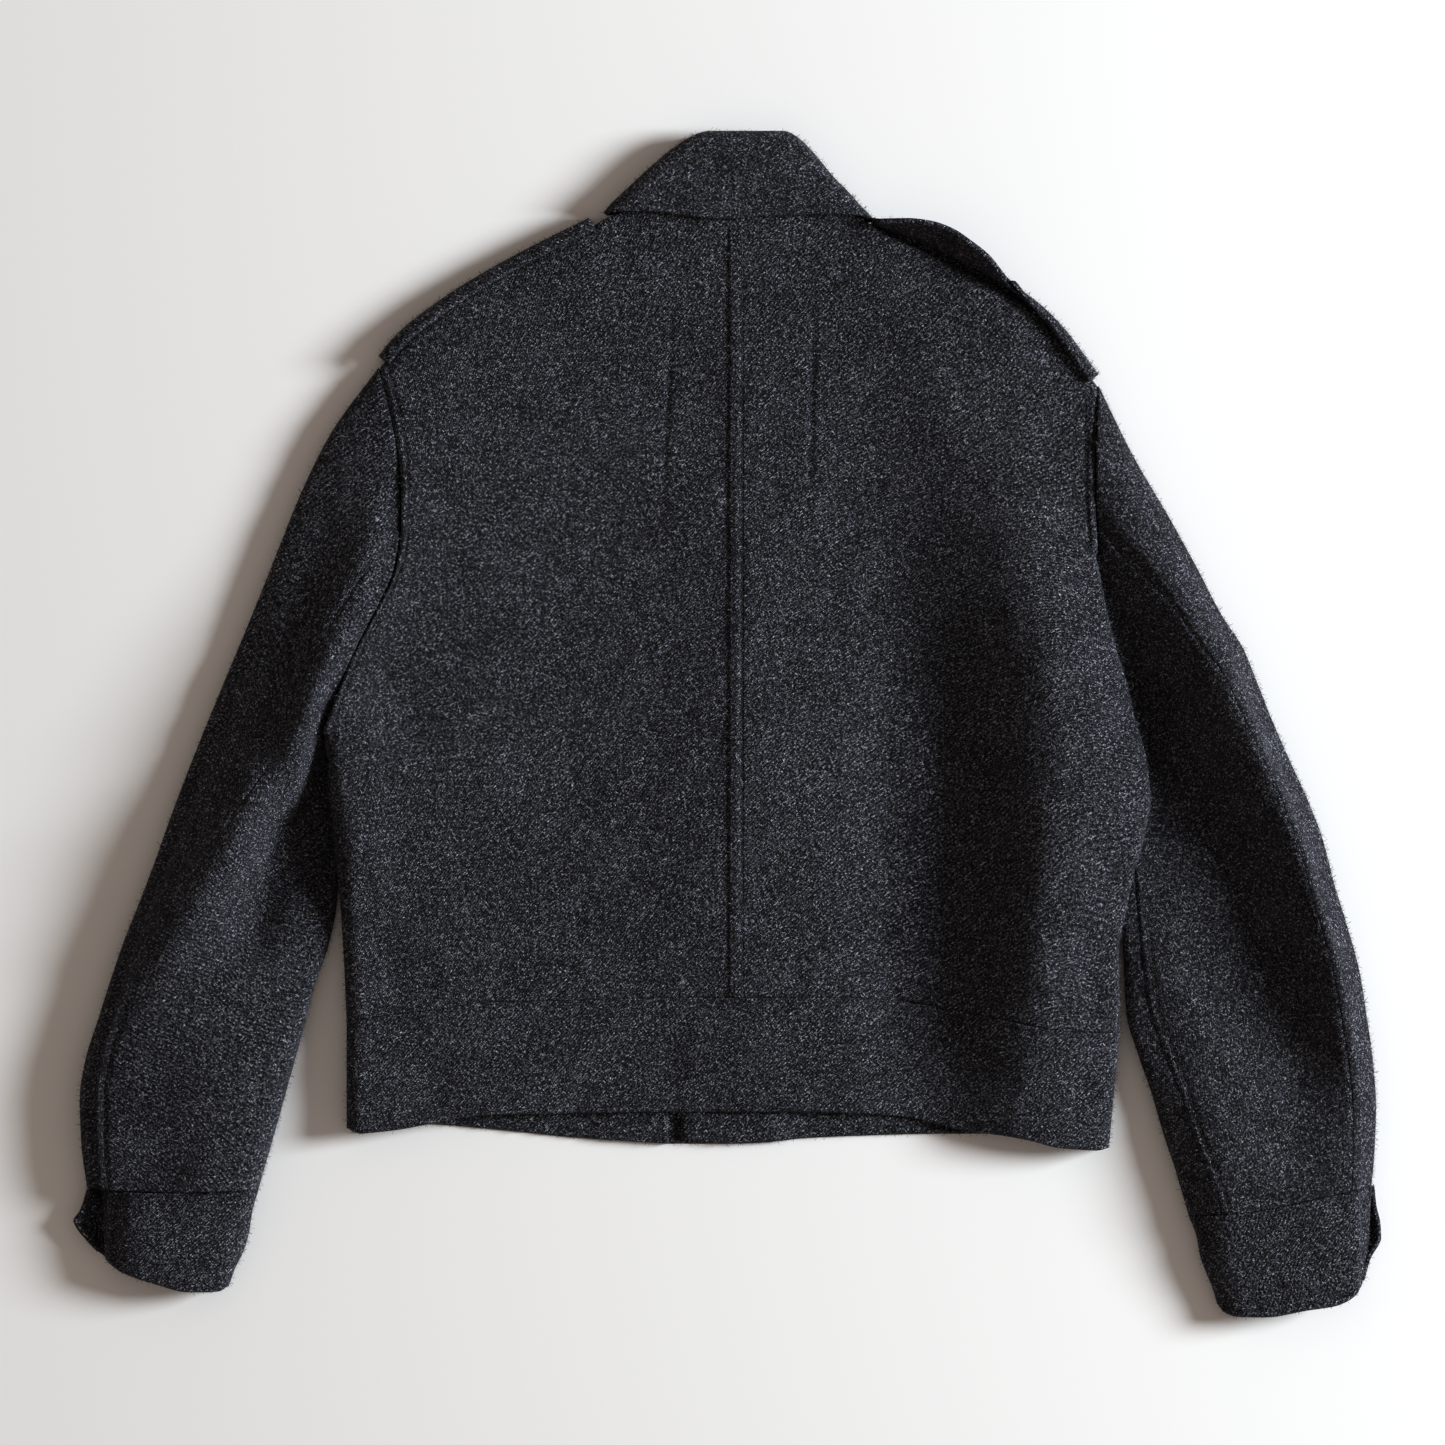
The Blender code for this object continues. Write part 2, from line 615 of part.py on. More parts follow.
def wall(name, skin, thickness, across, down, level=None):
    """One closed solid: the skin, the same grid one thickness behind it, and the four rims.

    `across` and `down` are plan directions at each point. A rim stands in the upright plane
    through its own edge, so two pieces that meet at a seam keep their gap all through. Where
    `level` is set, the wall is measured straight down.
    """
    normals = unit(np.cross(np.gradient(skin, axis=0), np.gradient(skin, axis=1)))
    for row in (0, -1):
        normals[row] = in_curtain(normals[row], across[row])
    for column in (0, -1):
        normals[:, column] = in_curtain(normals[:, column], down[:, column])
    for row in (0, -1):
        for column in (0, -1):
            normals[row, column] = (0, 0, np.sign(normals[row, column, 2]) or 1.0)
    if level is not None:
        normals[level] = (0, 0, 1)
    lining = skin - np.asarray(thickness, float)[..., None] * normals
    lining[..., 2] = np.maximum(lining[..., 2], 0.0)

    rows, columns = skin.shape[:2]
    numbers = np.arange(rows * columns).reshape(rows, columns)
    behind = numbers + rows * columns
    faces = []
    for i in range(rows - 1):
        for j in range(columns - 1):
            corners = ((i, j), (i + 1, j), (i + 1, j + 1), (i, j + 1))
            faces.append([numbers[corner] for corner in corners])
            faces.append([behind[corner] for corner in reversed(corners)])
    for i in range(rows - 1):
        faces.append([numbers[i + 1, 0], numbers[i, 0], behind[i, 0], behind[i + 1, 0]])
        faces.append([numbers[i, -1], numbers[i + 1, -1], behind[i + 1, -1], behind[i, -1]])
    for j in range(columns - 1):
        faces.append([numbers[0, j], numbers[0, j + 1], behind[0, j + 1], behind[0, j]])
        faces.append([numbers[-1, j + 1], numbers[-1, j], behind[-1, j], behind[-1, j + 1]])

    points = np.concatenate([skin.reshape(-1, 3), lining.reshape(-1, 3)]) * MM
    mesh = bpy.data.meshes.new(name)
    mesh.from_pydata(points.tolist(), [], [[int(n) for n in face] for face in faces])
    mesh.shade_smooth()
    mesh.materials.append(wool(name))
    return bpy.data.objects.new(name, mesh)


def wool(name):
    """The piece's own charcoal wool."""
    material = bpy.data.materials.new(name)
    material.use_nodes = True
    shader = material.node_tree.nodes["Principled BSDF"]
    shader.inputs["Base Color"].default_value = CHARCOAL
    shader.inputs["Roughness"].default_value = ROUGHNESS
    return material


def shares(count):
    """Even shares from 0 to 1."""
    return np.linspace(0.0, 1.0, count)


def seam(places, down):
    """A seam's share across at each row."""
    table = np.array(places, float)
    return eased(table[:, 0], table[:, 1], down)


def pushed(curve, at, distance):
    """Points of a curve, moved to its left by a distance."""
    points = curve(at)
    run = unit(np.gradient(points, axis=0))
    return points + distance * sideways(run)


class Sleeve:
    """A sleeve between its armhole and its cuff, with the shares where the body must meet it."""

    def __init__(self, armhole, cuff_seam, left, right, sections, gap, groups, fade):
        down = shares(SLEEVE_ROWS)
        rough = Plan(along(armhole), along(cuff_seam), by_station(left), by_station(right), fade)
        first = Tube(rough, sections, down)
        seams = [seam(group[0], down[:1])[0] if group[0] else None for group in groups]
        marks = [first.first[0]] + [mark for mark in seams if mark is not None] + [first.last[0]]
        meeting = [marks[0]]
        for start, end, group in zip(marks, marks[1:], groups):
            meeting.extend(start + (end - start) * shares(group[1] + 1)[1:])
        self.meeting = np.array(meeting)
        at = np.concatenate([[0.0], self.meeting, [1.0]])
        self.seam_points = along(armhole)(at)
        top = through(at, pushed(along(armhole), at, gap))
        self.plan = Plan(top, along(cuff_seam), by_station(left), by_station(right), fade)
        self.tube = Tube(self.plan, sections, down)
        # The first row keeps the shares that the body meets.
        self.tube.first[0], self.tube.last[0] = marks[0], marks[-1]


def left_sleeve():
    """The left sleeve: its hindarm seam is in sight, its forearm seam is underneath."""
    groups = ((HINDARM_LEFT, OUTER_COLUMNS), (None, UNDER_COLUMNS))
    sleeve = Sleeve(
        ARMHOLE_LEFT, CUFF_SEAM_LEFT, SLEEVE_LEFT_OUTER, SLEEVE_LEFT_INNER,
        SLEEVE_LEFT_SECTIONS, -SEAM_GAP, groups, ARMHOLE_FADE,
    )
    tube = sleeve.tube
    hindarm = seam(HINDARM_LEFT, tube.down)
    half = LONG_GAP / 2 / tube.length
    step = (tube.last - hindarm) / UNDER_COLUMNS
    forearm = tube.last - FOREARM_COLUMN * step
    top = [
        tube.lower(forearm - half, hindarm, UNDER_COLUMNS - FOREARM_COLUMN),
        tube.lower(hindarm, tube.first, OUTER_COLUMNS),
        tube.roll(-1, -90, 90),
        tube.upper(tube.first, hindarm - half, OUTER_COLUMNS),
    ]
    under = [
        tube.upper(hindarm + half, tube.last, UNDER_COLUMNS),
        tube.roll(1, 90, -90),
        tube.lower(tube.last, forearm + half, FOREARM_COLUMN),
    ]
    pieces = [
        tube.wall("sleeve_top_left", top, CLOTH),
        tube.wall("sleeve_under_left", under, CLOTH),
    ]
    return sleeve, pieces


def right_sleeve():
    """The right sleeve: both its seams are in sight, with the under panel between them."""
    groups = (
        (FOREARM_RIGHT, INNER_STRIP_COLUMNS), (HINDARM_RIGHT, MIDDLE_COLUMNS), (None, RIDGE_COLUMNS),
    )
    sleeve = Sleeve(
        ARMHOLE_RIGHT, CUFF_SEAM_RIGHT, SLEEVE_RIGHT_INNER, SLEEVE_RIGHT_OUTER,
        SLEEVE_RIGHT_SECTIONS, -SEAM_GAP, groups, 1.0,
    )
    tube = sleeve.tube
    forearm, hindarm = seam(FOREARM_RIGHT, tube.down), seam(HINDARM_RIGHT, tube.down)
    half = LONG_GAP / 2 / tube.length
    top = [
        tube.upper(hindarm + half, tube.last, RIDGE_COLUMNS),
        tube.roll(1, 90, -90),
        tube.lower(tube.last, hindarm, RIDGE_COLUMNS),
        tube.lower(hindarm, forearm, MIDDLE_COLUMNS),
        tube.lower(forearm, tube.first, INNER_STRIP_COLUMNS),
        tube.roll(-1, -90, 90),
        tube.upper(tube.first, forearm - half, INNER_STRIP_COLUMNS),
    ]
    under = [tube.upper(forearm + half, hindarm - half, MIDDLE_COLUMNS)]
    pieces = [
        tube.wall("sleeve_top_right", top, CLOTH),
        tube.wall("sleeve_under_right", under, CLOTH),
    ]
    return sleeve, pieces


def with_tab(tube, reaches, side):
    """Points of a cuff's tab, out from the lower skin's end and rising."""
    table = np.array(reaches, float)
    reach = eased(table[:, 0], table[:, 1], tube.down)
    edge = np.full_like(tube.down, 0.0 if side < 0 else 1.0)
    out = tube.plan.directions(tube.down, edge)[0] * side
    places = tube.plan.place(tube.down, edge)
    columns = [
        np.concatenate([places + out * (reach * share)[:, None], np.full((len(reach), 1), up)], axis=1)
        for share, up in zip(TAB_OUT, TAB_UP)
    ]
    return np.stack(columns, axis=1)


def below_seam(places, start):
    """A cuff's upper edge: the sleeve's seam from x = start on, a gap further down."""
    seam_line = np.array(places, float)

    def curve(across):
        x = start + (seam_line[-1, 0] - start) * np.asarray(across, float)
        y = eased(seam_line[:, 0], seam_line[:, 1], x) - CUFF_GAP
        return np.stack([x, y], axis=-1)

    return curve


def cuff_plan(seam_places, bottom, left, right):
    """A cuff's outline, with its sides brought up to meet its upper edge."""
    top = below_seam(seam_places, left[0].x)
    start, end = top(np.array([0.0, 1.0]))
    return Plan(top, along(bottom), joined(along(left), start), joined(along(right), end))


def cuff(name, plan, sections, reaches, side):
    """A cuff: a band round the wrist, open at the vent, its lower end a loose tab."""
    down = np.array(CUFF_ROWS)
    tube = Tube(plan, sections, down)
    count = OUTER_COLUMNS + UNDER_COLUMNS
    edge = np.full_like(down, 0.0 if side < 0 else 1.0)
    if side < 0:
        legs = [
            tube.roll(-1, 15, 90), tube.upper(tube.first, tube.last, count),
            tube.roll(1, 90, -90), tube.lower(tube.last, edge, count),
        ]
    else:
        legs = [
            tube.lower(edge, tube.first, count), tube.roll(-1, -90, 90),
            tube.upper(tube.first, tube.last, count), tube.roll(1, 90, 15),
        ]
    skin, run, fall = tube.skin(legs)
    tab = with_tab(tube, reaches, side)
    if side < 0:
        skin = np.concatenate([skin, tab], axis=1)
        run = np.concatenate([run] + [run[:, -1:]] * len(TAB_UP), axis=1)
        fall = np.concatenate([fall] + [fall[:, -1:]] * len(TAB_UP), axis=1)
    else:
        skin = np.concatenate([tab[:, ::-1], skin], axis=1)
        run = np.concatenate([run[:, :1]] * len(TAB_UP) + [run], axis=1)
        fall = np.concatenate([fall[:, :1]] * len(TAB_UP) + [fall], axis=1)
    return wall(name, skin, BAND, run, fall)


class Body:
    """Rows of the body, shared by the back and the hidden fronts, and their side edges."""

    def __init__(self, left_sleeve_part, right_sleeve_part):
        seam_left = left_sleeve_part.seam_points[1:]
        side_left = along(SIDE_LEFT)(shares(SIDE_ROWS + 1)[1:])
        self.left = np.concatenate([seam_left, side_left])
        self.rows = len(self.left)
        self.seam_rows_left = len(seam_left)
        seam_right = right_sleeve_part.seam_points[::-1][1 : SEAM_ROWS_RIGHT + 1]
        rest = self.rows - SEAM_ROWS_RIGHT
        self.right = np.concatenate([seam_right, along(SIDE_RIGHT)(shares(rest))])
        self.front_right = np.concatenate([seam_right, along(FRONT_RIGHT_SIDE)(shares(rest))])
        fallen = [side[0, 1] - side[:, 1] for side in (self.left, self.right)]
        self.down = sum(fall / fall[-1] for fall in fallen) / 2
        self.roll_left = (np.arange(self.rows) >= self.seam_rows_left).astype(float)
        self.roll_right = (np.arange(self.rows) >= SEAM_ROWS_RIGHT).astype(float)
        # Height of what the right side rolls down to: the tucked sleeve, then the floor.
        meets = -Place(*self.right[SEAM_ROWS_RIGHT]).y
        fallen = [meets, SLEEVE_LEAVES, FLOOR_REACHED]
        self.floor_right = np.interp(-self.right[:, 1], fallen, [OVER_SLEEVE, OVER_SLEEVE, 0.0])

    def top_row(self, across):
        """The back's first full row, a roll's width inside the shoulder edge."""
        edge = by_x(TOP_EDGE)(across)
        return edge - self.outward(across) * SHOULDER_ROLL

    def outward(self, across):
        """Plan direction out of the top edge. At its two ends it follows the armhole."""
        edge = by_x(TOP_EDGE)
        run = unit(edge(np.minimum(across + NEAR, 1)) - edge(np.maximum(across - NEAR, 0)))
        out = sideways(run)
        ends = [unit(side[0] - side[1]) for side in (self.left, self.right)]
        near_left = np.clip(1 - across / END_BLEND, 0, 1)[..., None]
        near_right = np.clip(1 - (1 - across) / END_BLEND, 0, 1)[..., None]
        return unit(out * (1 - near_left - near_right) + ends[0] * near_left + ends[1] * near_right)


def back_plan(body):
    """The back's outline, from a roll's width below its top edge to the waist seam."""
    return Plan(
        body.top_row, by_x(WAIST_SEAM), through(body.down, body.left), through(body.down, body.right)
    )


def side_columns(roll, top_height, floor, length, side):
    """Shares across and heights of the columns at one side.

    With roll 1 they go round to the floor. With roll 0 they lie flat and end at the seam.
    """
    angles = np.radians(np.linspace(-90, 90, ROLL_STEPS + 1))[None]
    radius = ((top_height - floor) / 2)[:, None]
    turn = roll[:, None]
    flat = radius * np.linspace(0, 1, ROLL_STEPS + 1)[None]
    inset = turn * radius * (1 - np.cos(angles)) + (1 - turn) * flat
    round_height = floor[:, None] + radius * (1 + np.sin(angles))
    height = turn * round_height + (1 - turn) * top_height[:, None]
    share = inset / length[:, None]
    return (share, height) if side < 0 else (1 - share[:, ::-1], height[:, ::-1])


def panel(plan, sections, down, roll_left, roll_right, floor_right, columns):
    """Skin of an upper panel between its two sides, with the places of its columns."""
    heights = Heights(sections)
    length = plan.width(down)
    ends = [heights.at(down, np.full_like(down, share)) for share in (0.0, 1.0)]
    left = side_columns(roll_left, ends[0], np.zeros_like(down), length, -1)
    right = side_columns(roll_right, ends[1], floor_right, length, 1)
    start, end = left[0][:, -1:], right[0][:, :1]
    middle = start + (end - start) * np.array(columns)[None, 1:-1]
    rows = np.broadcast_to(down[:, None], middle.shape)
    across = np.concatenate([left[0], middle, right[0]], axis=1)
    height = np.concatenate([left[1], heights.at(rows, middle), right[1]], axis=1)
    rows = np.broadcast_to(down[:, None], across.shape)
    skin = np.concatenate([plan.place(rows, across), height[..., None]], axis=-1)
    return skin, rows, across


def tuck_columns():
    """The back's columns with the tuck's four among them, and the index of the first."""
    middle = np.linspace(0.485, 0.505, 4)
    return list(BACK_COLUMNS[:TUCK_AFTER]) + list(middle) + list(BACK_COLUMNS[TUCK_AFTER:])


def raise_tuck(skin, first, top):
    """Sets the tuck's columns straight and lifts the cloth between its fold and its stitching."""
    lines = (TUCK_FOLD - TUCK_STEP, TUCK_FOLD, TUCK_STITCH - TUCK_STEP, TUCK_STITCH)
    for offset, x in enumerate(lines):
        skin[:, first + offset, 0] = x
    rise = np.clip((top - skin[:, first + 1, 1]) / 10 + 0.5, 0, 1) * TUCK_RISE
    for offset in (1, 2):
        skin[:, first + offset, 2] += rise


def back(body):
    """The back panel, rolled over at the shoulders and the sides, with its centre tuck."""
    plan = back_plan(body)
    down = body.down.copy()
    down[-1] = 1.0
    columns = tuck_columns()
    skin, rows, across = panel(
        plan, BACK_SECTIONS, down, body.roll_left, body.roll_right, body.floor_right, columns
    )
    raise_tuck(skin, ROLL_STEPS + TUCK_AFTER, TUCK_TOP)

    first = skin[0]
    out = body.outward(across[0])
    shoulder = (first[:, 0] < NECK_LEFT) | (first[:, 0] > NECK_RIGHT)
    turn = shoulder.astype(float)
    radius = first[:, 2] / 2
    caps = []
    angles = np.radians(np.linspace(-90, 90, ROLL_STEPS + 1))
    for angle, flat in zip(angles[:-1], shares(ROLL_STEPS + 1)[:-1]):
        inset = turn * SHOULDER_ROLL * (1 - np.cos(angle)) + (1 - turn) * SHOULDER_ROLL * flat
        height = turn * radius * (1 + np.sin(angle)) + (1 - turn) * first[:, 2]
        places = first[:, :2] + out * (SHOULDER_ROLL - inset)[:, None]
        caps.append(np.concatenate([places, height[:, None]], axis=1))
    skin = np.concatenate([np.stack(caps), skin])
    run, fall = plan.directions(rows, across)
    run = np.concatenate([run[:1]] * ROLL_STEPS + [run])
    fall = np.concatenate([-out[None]] * ROLL_STEPS + [fall])
    level = np.zeros(skin.shape[:2], bool)
    level[0] = ~shoulder
    level[ROLL_STEPS:, 0] = body.roll_left == 0
    level[ROLL_STEPS:, -1] = body.roll_right == 0
    return wall("back", skin, CLOTH, run, fall, level)


def front(name, body, side):
    """A hidden front, flat on the floor. The right one lies on the left one where they overlap."""
    down = body.down.copy()
    left, right = body.left.copy(), body.front_right.copy()
    rolled = body.roll_left > 0
    left[rolled, 0] += SIDE_INSET
    left[body.seam_rows_left - 1, 0] += UNDERARM_INSET
    if side < 0:
        x = left[:, :1] + (OVERLAP - left[:, :1]) * shares(6)[None]
    else:
        start = OVERLAP + 4 + RAMP
        flat = np.broadcast_to([[-OVERLAP, 0.0, OVERLAP + 4]], (body.rows, 3))
        x = np.concatenate([flat, start + (right[:, :1] - start) * shares(5)[None]], axis=1)
    share = (x - body.left[:, :1]) / (body.right - body.left)[:, :1]
    place = back_plan(body).place(np.broadcast_to(down[:, None], share.shape), np.clip(share, 0, 1))
    y = np.minimum(place[..., 1], FRONT_NECK)
    y[0] -= SHOULDER_CLEAR
    y[:, 0 if side < 0 else -1] = (left if side < 0 else right)[:, 1]
    waist = np.array(WAIST_SEAM, float)
    y[-1] = eased(waist[:, 0], waist[:, 1], x[-1]) + HIDDEN_GAP
    floor = np.zeros_like(x)
    if side > 0:
        lifted = CLOTH + SEAM_GAP
        floor = np.interp(x, [OVERLAP + 4, OVERLAP + 4 + RAMP], [lifted, 0.0])
    skin = np.stack([x, y, floor], axis=-1)[:, ::-1]
    level = np.zeros(skin.shape[:2] + (2,))
    run, fall = level + (1.0, 0.0), level + (0.0, -1.0)
    border = 0 if side > 0 else -1
    edge = right if side > 0 else left
    fall[:, border] = unit(np.gradient(edge, axis=0))
    return wall(name, skin, CLOTH, run, fall)


def waistband_back():
    """The back waistband, from the waist seam to the hem."""
    left = through([0, 1], [WAIST_SEAM[0], HEM_BACK[0]])
    right = through([0, 1], [WAIST_SEAM[-1], HEM_BACK[-1]])
    plan = Plan(by_x(WAIST_SEAM), by_x(HEM_BACK), left, right)
    gap = SEAM_GAP / BAND_DEPTH
    down = gap + (1 - gap) * np.array(BAND_ROWS)
    rolled = np.ones_like(down)
    skin, rows, across = panel(
        plan, BAND_SECTIONS, down, rolled, rolled, np.zeros_like(down), tuck_columns()
    )
    return wall("waistband_back", skin, BAND, *plan.directions(rows, across))


def waistband_front(name, side):
    """A front waistband: the left one in two layers with a step, the right one lying on it."""
    if side < 0:
        x = np.array([-241, -200, -150, -100, -70, SLOT_LEFT - 0.2, SLOT_LEFT + 0.2, -20, 5, OVERLAP])
        hem = np.array(HEM_FRONT_LEFT, float)
        thick = np.interp(x, [-100, -70, SLOT_LEFT - 0.2, SLOT_LEFT + 0.2], [3.0, 5.2, 5.2, LOWER_LAYER])
        floor = np.zeros_like(x)
    else:
        low, high = OVERLAP + 3, OVERLAP + 3 + RAMP
        x = np.array([-OVERLAP, 0, low, high, 90, 140, 190, 240])
        hem = np.array(HEM_FRONT_RIGHT, float)
        thick = np.full_like(x, BAND)
        floor = np.interp(x, [low, high], [LOWER_LAYER + SEAM_GAP, 0.0])
    seam_line = np.array(WAIST_SEAM, float)
    top = eased(seam_line[:, 0], seam_line[:, 1], x) - SEAM_GAP
    bottom = eased(hem[:, 0], hem[:, 1], x)
    down = np.array(BAND_FRONT_ROWS)[:, None]
    y = top + (bottom - top) * down
    skin = np.stack([np.broadcast_to(x, y.shape), y, np.broadcast_to(floor, y.shape)], axis=-1)
    level = np.zeros(y.shape + (2,))
    thickness = np.broadcast_to(thick, y.shape)
    run, fall = level + (1.0, 0.0), level + (0.0, -1.0)
    return wall(name, skin[:, ::-1], thickness[:, ::-1], run, fall)


def collar_fall():
    """The turned-down collar: over the back, round both sides and flat under the neck."""
    plan = Plan(by_x(COLLAR_TOP), by_x(COLLAR_EDGE), along(COLLAR_LEFT), along(COLLAR_RIGHT))
    tube = Tube(plan, FALL_SECTIONS, np.array(FALL_ROWS))
    middle = np.full_like(tube.down, 0.5)
    slit = SLIT / tube.length
    legs = [
        tube.lower(middle - slit, tube.first, 4), tube.roll(-1, -90, 90),
        tube.upper(tube.first, tube.last, 10), tube.roll(1, 90, -90),
        tube.lower(tube.last, middle + slit, 4),
    ]
    return tube.wall("collar_fall", legs, FALL)


def collar_stand():
    """The stand inside the fall, from the top fold down to the neck seam."""
    neck = by_x(TOP_EDGE)
    width = TOP_EDGE[-1].x - TOP_EDGE[0].x
    low_left, low_right = NECK_LEFT + 17, NECK_RIGHT - 15
    start, end = ((x - TOP_EDGE[0].x) / width for x in (low_left, low_right))

    def bottom(across):
        return neck(start + (end - start) * np.asarray(across, float)) + (0.0, STAND_GAP)

    top = np.array(COLLAR_TOP, float)
    high = top[1, 1] - STAND_TOP
    corners = [(top[0, 0] + STAND_INSET, high), (top[-1, 0] - STAND_INSET, high)]
    top_line = through([0, 1], corners)
    ends = np.array([0.0, 1.0])
    left = through([0, 1], [top_line(ends)[0], bottom(ends)[0]])
    right = through([0, 1], [top_line(ends)[1], bottom(ends)[1]])
    tube = Tube(Plan(top_line, bottom, left, right), STAND_SECTIONS, shares(5), STAND_FLOOR)
    middle = np.full_like(tube.down, 0.5)
    slit = SLIT / tube.length
    legs = [
        tube.lower(middle - slit, tube.first, 3), tube.roll(-1, -90, 90),
        tube.upper(tube.first, tube.last, 8), tube.roll(1, 90, -90),
        tube.lower(tube.last, middle + slit, 3),
    ]
    return tube.wall("collar_stand", legs, CLOTH)


def epaulette(name, line, stations, side):
    """A shoulder strap along the shoulder's edge, wrapped over it or leaning out from it."""
    at = shares(STRAP_ROWS)
    places = along(line)(at)
    run = unit(np.gradient(places, axis=0))
    out = sideways(run) * side
    table = np.array(stations, float)
    lean = eased(table[:, 0], table[:, 1], at)[:, None, None]
    section = (1 - lean) * np.array(STRAP_WRAPPED)[None] + lean * np.array(STRAP_LEANING)[None]
    flat = places[:, None] + out[:, None] * section[..., :1]
    skin = np.concatenate([flat, section[..., 1:]], axis=-1)
    across = np.broadcast_to(out[:, None], flat.shape)
    if side < 0:
        skin, across = skin[:, ::-1], across[:, ::-1]
    # Its long edges are cut square to its own section.
    return wall(name, skin, STRAP, across, across)


def clear_scene():
    """Removes whatever the scene holds."""
    for thing in list(bpy.data.objects):
        bpy.data.objects.remove(thing, do_unlink=True)


def main():
    """Builds the jacket into a collection of its own."""
    clear_scene()
    jacket = bpy.data.collections.new("military_jacket")
    bpy.context.scene.collection.children.link(jacket)
    sleeve_l, pieces_l = left_sleeve()
    sleeve_r, pieces_r = right_sleeve()
    body = Body(sleeve_l, sleeve_r)
    cuff_left_plan = cuff_plan(
        CUFF_SEAM_LEFT, CUFF_LEFT_BOTTOM, CUFF_LEFT_OUTER, CUFF_LEFT_INNER
    )
    cuff_right_plan = cuff_plan(
        CUFF_SEAM_RIGHT, CUFF_RIGHT_BOTTOM, CUFF_RIGHT_INNER, CUFF_RIGHT_OUTER
    )
    pieces = pieces_l + pieces_r + [
        back(body),
        front("front_left", body, -1),
        front("front_right", body, 1),
        waistband_back(),
        waistband_front("waistband_front_left", -1),
        waistband_front("waistband_front_right", 1),
        cuff("cuff_left", cuff_left_plan, CUFF_LEFT_SECTIONS, TAB_LEFT, -1),
        cuff("cuff_right", cuff_right_plan, CUFF_RIGHT_SECTIONS, TAB_RIGHT, 1),
        collar_fall(),
        collar_stand(),
        epaulette("epaulette_left", STRAP_LEFT_LINE, STRAP_LEFT_STATIONS, -1),
        epaulette("epaulette_right", STRAP_RIGHT_LINE, STRAP_RIGHT_STATIONS, 1),
    ]
    for piece in pieces:
        jacket.objects.link(piece)


main()
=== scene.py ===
"""Dresses a short charcoal wool battledress jacket that lies flat on its front, back up.

Each sewn piece of the frame is replaced by a fine shell of cloth on the same form, with its seams,
stitching, creases and nap. Lengths in the tables are millimetres, seen from above: +X right, +Y
towards the collar, +Z up. "Left" and "right" are the viewer's.
"""

import logging
import math
from dataclasses import dataclass, field
from enum import Enum
from typing import Callable, NamedTuple, Optional, Sequence

import bpy
import numpy as np
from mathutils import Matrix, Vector


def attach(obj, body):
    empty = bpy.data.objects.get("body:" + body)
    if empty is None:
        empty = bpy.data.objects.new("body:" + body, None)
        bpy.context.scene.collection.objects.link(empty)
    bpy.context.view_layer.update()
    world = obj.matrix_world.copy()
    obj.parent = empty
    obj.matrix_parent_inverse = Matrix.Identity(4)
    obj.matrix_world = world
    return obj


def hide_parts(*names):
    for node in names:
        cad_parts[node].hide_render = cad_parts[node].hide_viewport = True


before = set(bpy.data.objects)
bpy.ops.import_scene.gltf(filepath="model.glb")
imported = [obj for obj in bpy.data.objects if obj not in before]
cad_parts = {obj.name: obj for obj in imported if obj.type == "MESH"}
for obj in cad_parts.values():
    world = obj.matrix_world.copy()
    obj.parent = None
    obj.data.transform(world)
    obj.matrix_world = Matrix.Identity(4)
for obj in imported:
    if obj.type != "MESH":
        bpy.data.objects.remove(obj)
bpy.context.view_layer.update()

LOG = logging.getLogger("jacket")
MM = 0.001
SEED = 11
PHOTO_PIXELS = 1445
MM_PER_PIXEL = 0.66
PHOTO_CENTRE = (727.0, 724.0)

Array = np.ndarray
Curve = Callable[[Array], Array]

# Cloth, in the same sizes as the frame
CLOTH = 2.5
BAND = 3.0
FALL = 3.5
STRAP = 3.5
SEAM_GAP = 0.3
ARMHOLE_GAP = 0.12
CUFF_GAP = 0.5
LONG_GAP = 0.1
ROLL_STEPS = 5
SHOULDER_ROLL = 7.0
OVERLAP = 30.0
SLOT_LEFT = -39.0
RAMP = 15.0
LOWER_LAYER = 2.0
ARMHOLE_FADE = 4.0
FOREARM_COLUMN = 2
SIDE_INSET = 13.0
UNDERARM_INSET = 6.0
SHOULDER_CLEAR = 3.6
HIDDEN_GAP = 1.2
TUCK_LINES = (1.3, 2.2, 9.5, 10.4)
TUCK_TOP = 319.0
TUCK_RISE = 1.1
FLOOR_CLEAR = 3.0  # least height of a sleeve's cloth that faces up


class Section(NamedTuple):
    """Heights of a sleeve's upper skin on one line across it, from its left edge to its right."""

    at: float
    left: float
    first_at: float
    first: float
    second_at: float
    second: float
    third_at: float
    third: float
    right: float

    def knots(self):
        """Places across, as shares, and the heights there."""
        places = (0.0, self.first_at, self.second_at, self.third_at, 1.0)
        return places, (self.left, self.first, self.second, self.third, self.right)


class BackSection(NamedTuple):
    """Heights of the back's skin on one line across it. Trough and ridge are the fold at the right."""

    at: float
    left: float
    flank: float
    left_back: float
    centre: float
    right_back: float
    trough_at: float
    trough: float
    ridge_at: float
    ridge: float
    right: float

    def knots(self):
        """Places across, as shares, and the heights there."""
        places = (0.0, 0.12, 0.35, 0.5, 0.68, self.trough_at, self.ridge_at, 1.0)
        heights = (self.left, self.flank, self.left_back, self.centre, self.right_back)
        return places, heights + (self.trough, self.ridge, self.right)


class Place(NamedTuple):
    """A place on the floor plan."""

    x: float
    y: float


class Station(NamedTuple):
    """One end of a sleeve's section line: the share of the way to the cuff, and the place."""

    at: float
    x: float
    y: float


